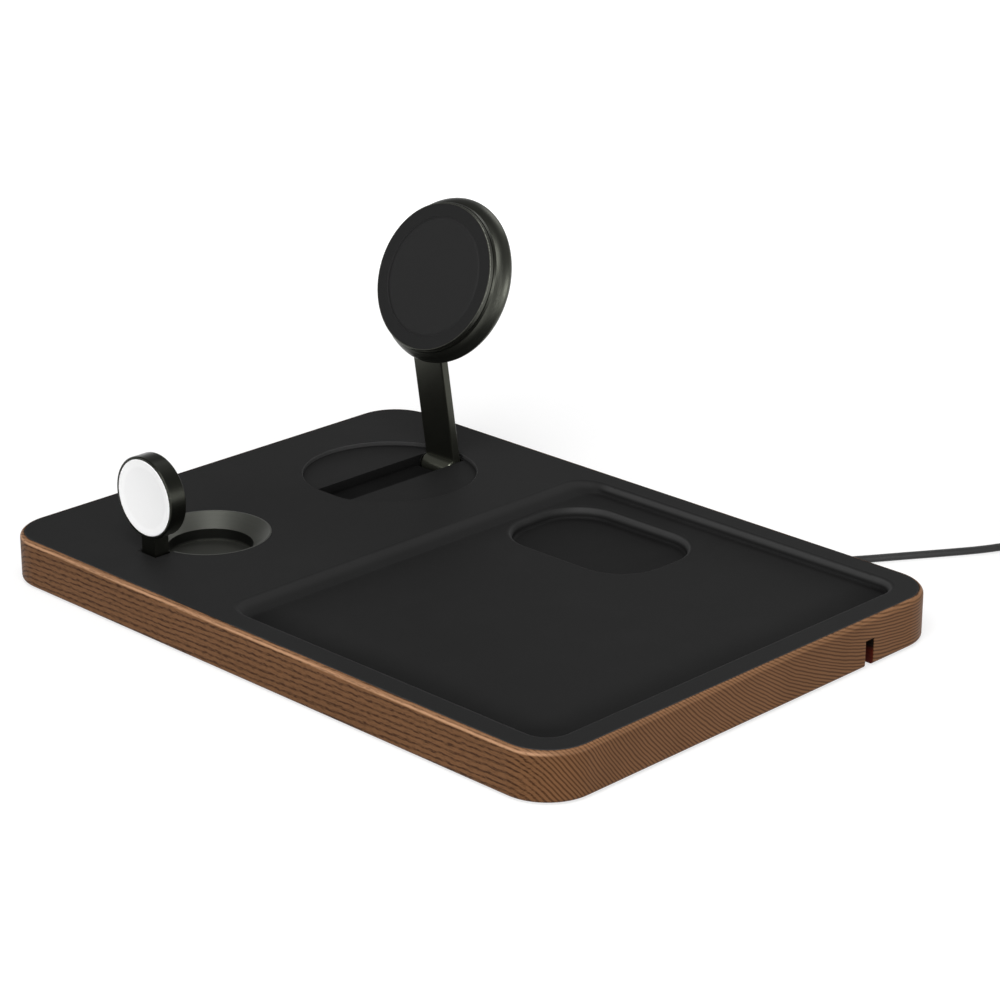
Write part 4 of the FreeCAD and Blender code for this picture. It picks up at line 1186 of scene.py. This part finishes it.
    @staticmethod
    def _on_loop(travelled: float, runs: Sequence[float], corners: Sequence[Vector],
                 bend: float) -> Tuple[Vector, Vector]:
        """Place and outward direction at a distance along the loop.

        Args:
            travelled: Distance from the loop's start, clockwise.
            runs: Lengths of its straights and bends in turn.
            corners: Its corners before they are rounded.
            bend: The bends' radius.

        Returns:
            The place and the direction.
        """
        for index, run in enumerate(runs):
            if travelled <= run or index == len(runs) - 1:
                break
            travelled -= run
        turned = -math.pi / 2 * (index // 2)
        out = Vector((math.cos(turned + math.pi / 2), math.sin(turned + math.pi / 2)))
        ahead = Vector((math.cos(turned), math.sin(turned)))
        if index % 2 == 0:
            return corners[index // 2 - 1] + ahead * (bend + travelled), out
        angle = travelled / bend
        centre = corners[index // 2] - (ahead + out) * bend
        swung = out * math.cos(angle) + ahead * math.sin(angle)
        return centre + swung * bend, swung


class Lamp(Enum):
    """The studio's area lamps: place, width, height and power."""

    KEY = ((0.40, -0.62, 1.19), 0.7, 0.7, 10.5)
    FRONT = ((0.35, -1.40, 0.50), 0.9, 0.6, 8.6)
    STREAK = ((1.22, -0.42, 0.48), 0.16, 1.0, 3.7)
    EDGE = ((1.20, 0.42, 0.13), 0.45, 0.5, 4.8)
    BACK = ((-0.25, 1.10, 1.00), 0.8, 0.5, 3.0)


@dataclass
class Studio:
    """Plain white studio: floor, world, lamps and the camera at the photograph's angle."""

    eye: Place = (0.70524, -0.69429, 0.41754)
    look: Place = (-0.656657, 0.664151, -0.357357)
    lens: float = 110.787
    sensor: float = 36.0
    floor_side: float = 8.0
    floor_shade: Tuple[float, float, float, float] = (0.38, 0.38, 0.38, 1.0)
    floor_glow: float = 0.68
    far_glow: float = 0.4
    far: Span = (0.2, 0.6)
    ambient: float = 0.32
    ceiling: float = 0.25
    horizon: Span = (0.08, 0.36)
    aim: Place = (0.0, 0.0, 0.03)

    def build(self) -> None:
        """Set up everything round the object."""
        self._camera()
        self._world()
        self._floor()
        for lamp in Lamp:
            self._lamp(lamp)
        SCENE.view_settings.view_transform = "Standard"

    def _camera(self) -> None:
        """Camera at the photograph's viewing angle."""
        data = bpy.data.cameras.new("camera")
        data.lens = self.lens
        data.sensor_width = self.sensor
        camera = bpy.data.objects.new("camera", data)
        camera.location = self.eye
        camera.rotation_mode = "QUATERNION"
        camera.rotation_quaternion = Vector(self.look).to_track_quat("-Z", "Y")
        SCENE.collection.objects.link(camera)
        SCENE.camera = camera

    def _world(self) -> None:
        """White to the camera, white at the horizon in reflections, soft grey light elsewhere."""
        world = bpy.data.worlds.new("studio")
        SCENE.world = world
        world.use_nodes = True
        net = Net(world.node_tree)
        camera, glossy, through = net.rays()
        height = net.axes(net.node("ShaderNodeTexCoord", {}, {}, "Generated"))[2]
        mirrored = 1 - height.smooth(*self.horizon) * (1 - self.ceiling)
        seen = (camera + through) * (1 - self.ambient)
        strength = self.ambient + seen + glossy * (mirrored - self.ambient)
        sky = net.node("ShaderNodeBackground", {}, {"Color": WHITE, "Strength": strength})
        net.node("ShaderNodeOutputWorld", {}, {"Surface": sky})

    def _floor(self) -> None:
        """Pale floor that keeps the object's shadow, runs out into white and is clear from below."""
        half = self.floor_side / 2
        mesh = bpy.data.meshes.new("floor")
        corners = [(-half, -half, 0), (half, -half, 0), (half, half, 0), (-half, half, 0)]
        mesh.from_pydata(corners, [], [(0, 1, 2, 3)])
        floor = bpy.data.objects.new("floor", mesh)
        SCENE.collection.objects.link(floor)
        net = FinishNet("pale_floor")
        camera, glossy, through = net.rays()
        x, y, _ = net.axes(net.place())
        away = (x * x + y * y).root().smooth(*self.far)
        glow = (camera + glossy + through) * (self.floor_glow + away * self.far_glow)
        lit = net.node("ShaderNodeEmission", {}, {"Color": WHITE, "Strength": glow})
        matte = net.node("ShaderNodeBsdfDiffuse", {}, {"Color": self.floor_shade})
        both = net.node("ShaderNodeAddShader", {}, {0: lit, 1: matte})
        under = net.node("ShaderNodeNewGeometry", {}, {}, "Backfacing")
        clear = net.node("ShaderNodeBsdfTransparent", {}, {})
        seen = net.node("ShaderNodeMixShader", {}, {0: under, 1: both, 2: clear})
        net.node("ShaderNodeOutputMaterial", {}, {"Surface": seen})
        mesh.materials.append(net.material)

    def _lamp(self, lamp: Lamp) -> None:
        """Set up one area lamp, aimed at the object.

        Args:
            lamp: The lamp.
        """
        place, width, height, power = lamp.value
        data = bpy.data.lights.new(lamp.name.lower(), "AREA")
        data.shape = "RECTANGLE"
        data.size = width
        data.size_y = height
        data.energy = power
        light = bpy.data.objects.new(lamp.name.lower(), data)
        light.location = place
        light.rotation_mode = "QUATERNION"
        light.rotation_quaternion = (Vector(self.aim) - Vector(place)).to_track_quat("-Z", "Y")
        SCENE.collection.objects.link(light)


def main() -> None:
    """Build the scene in order."""
    logging.basicConfig(level=logging.INFO)
    Studio().build()
    for assembly in (Tray(), PhoneStation(), WatchStation(), Underside(), SupplyCable()):
        assembly.build()
        LOG.info("built %s", type(assembly).__name__)


if __name__ == "__main__":
    main()
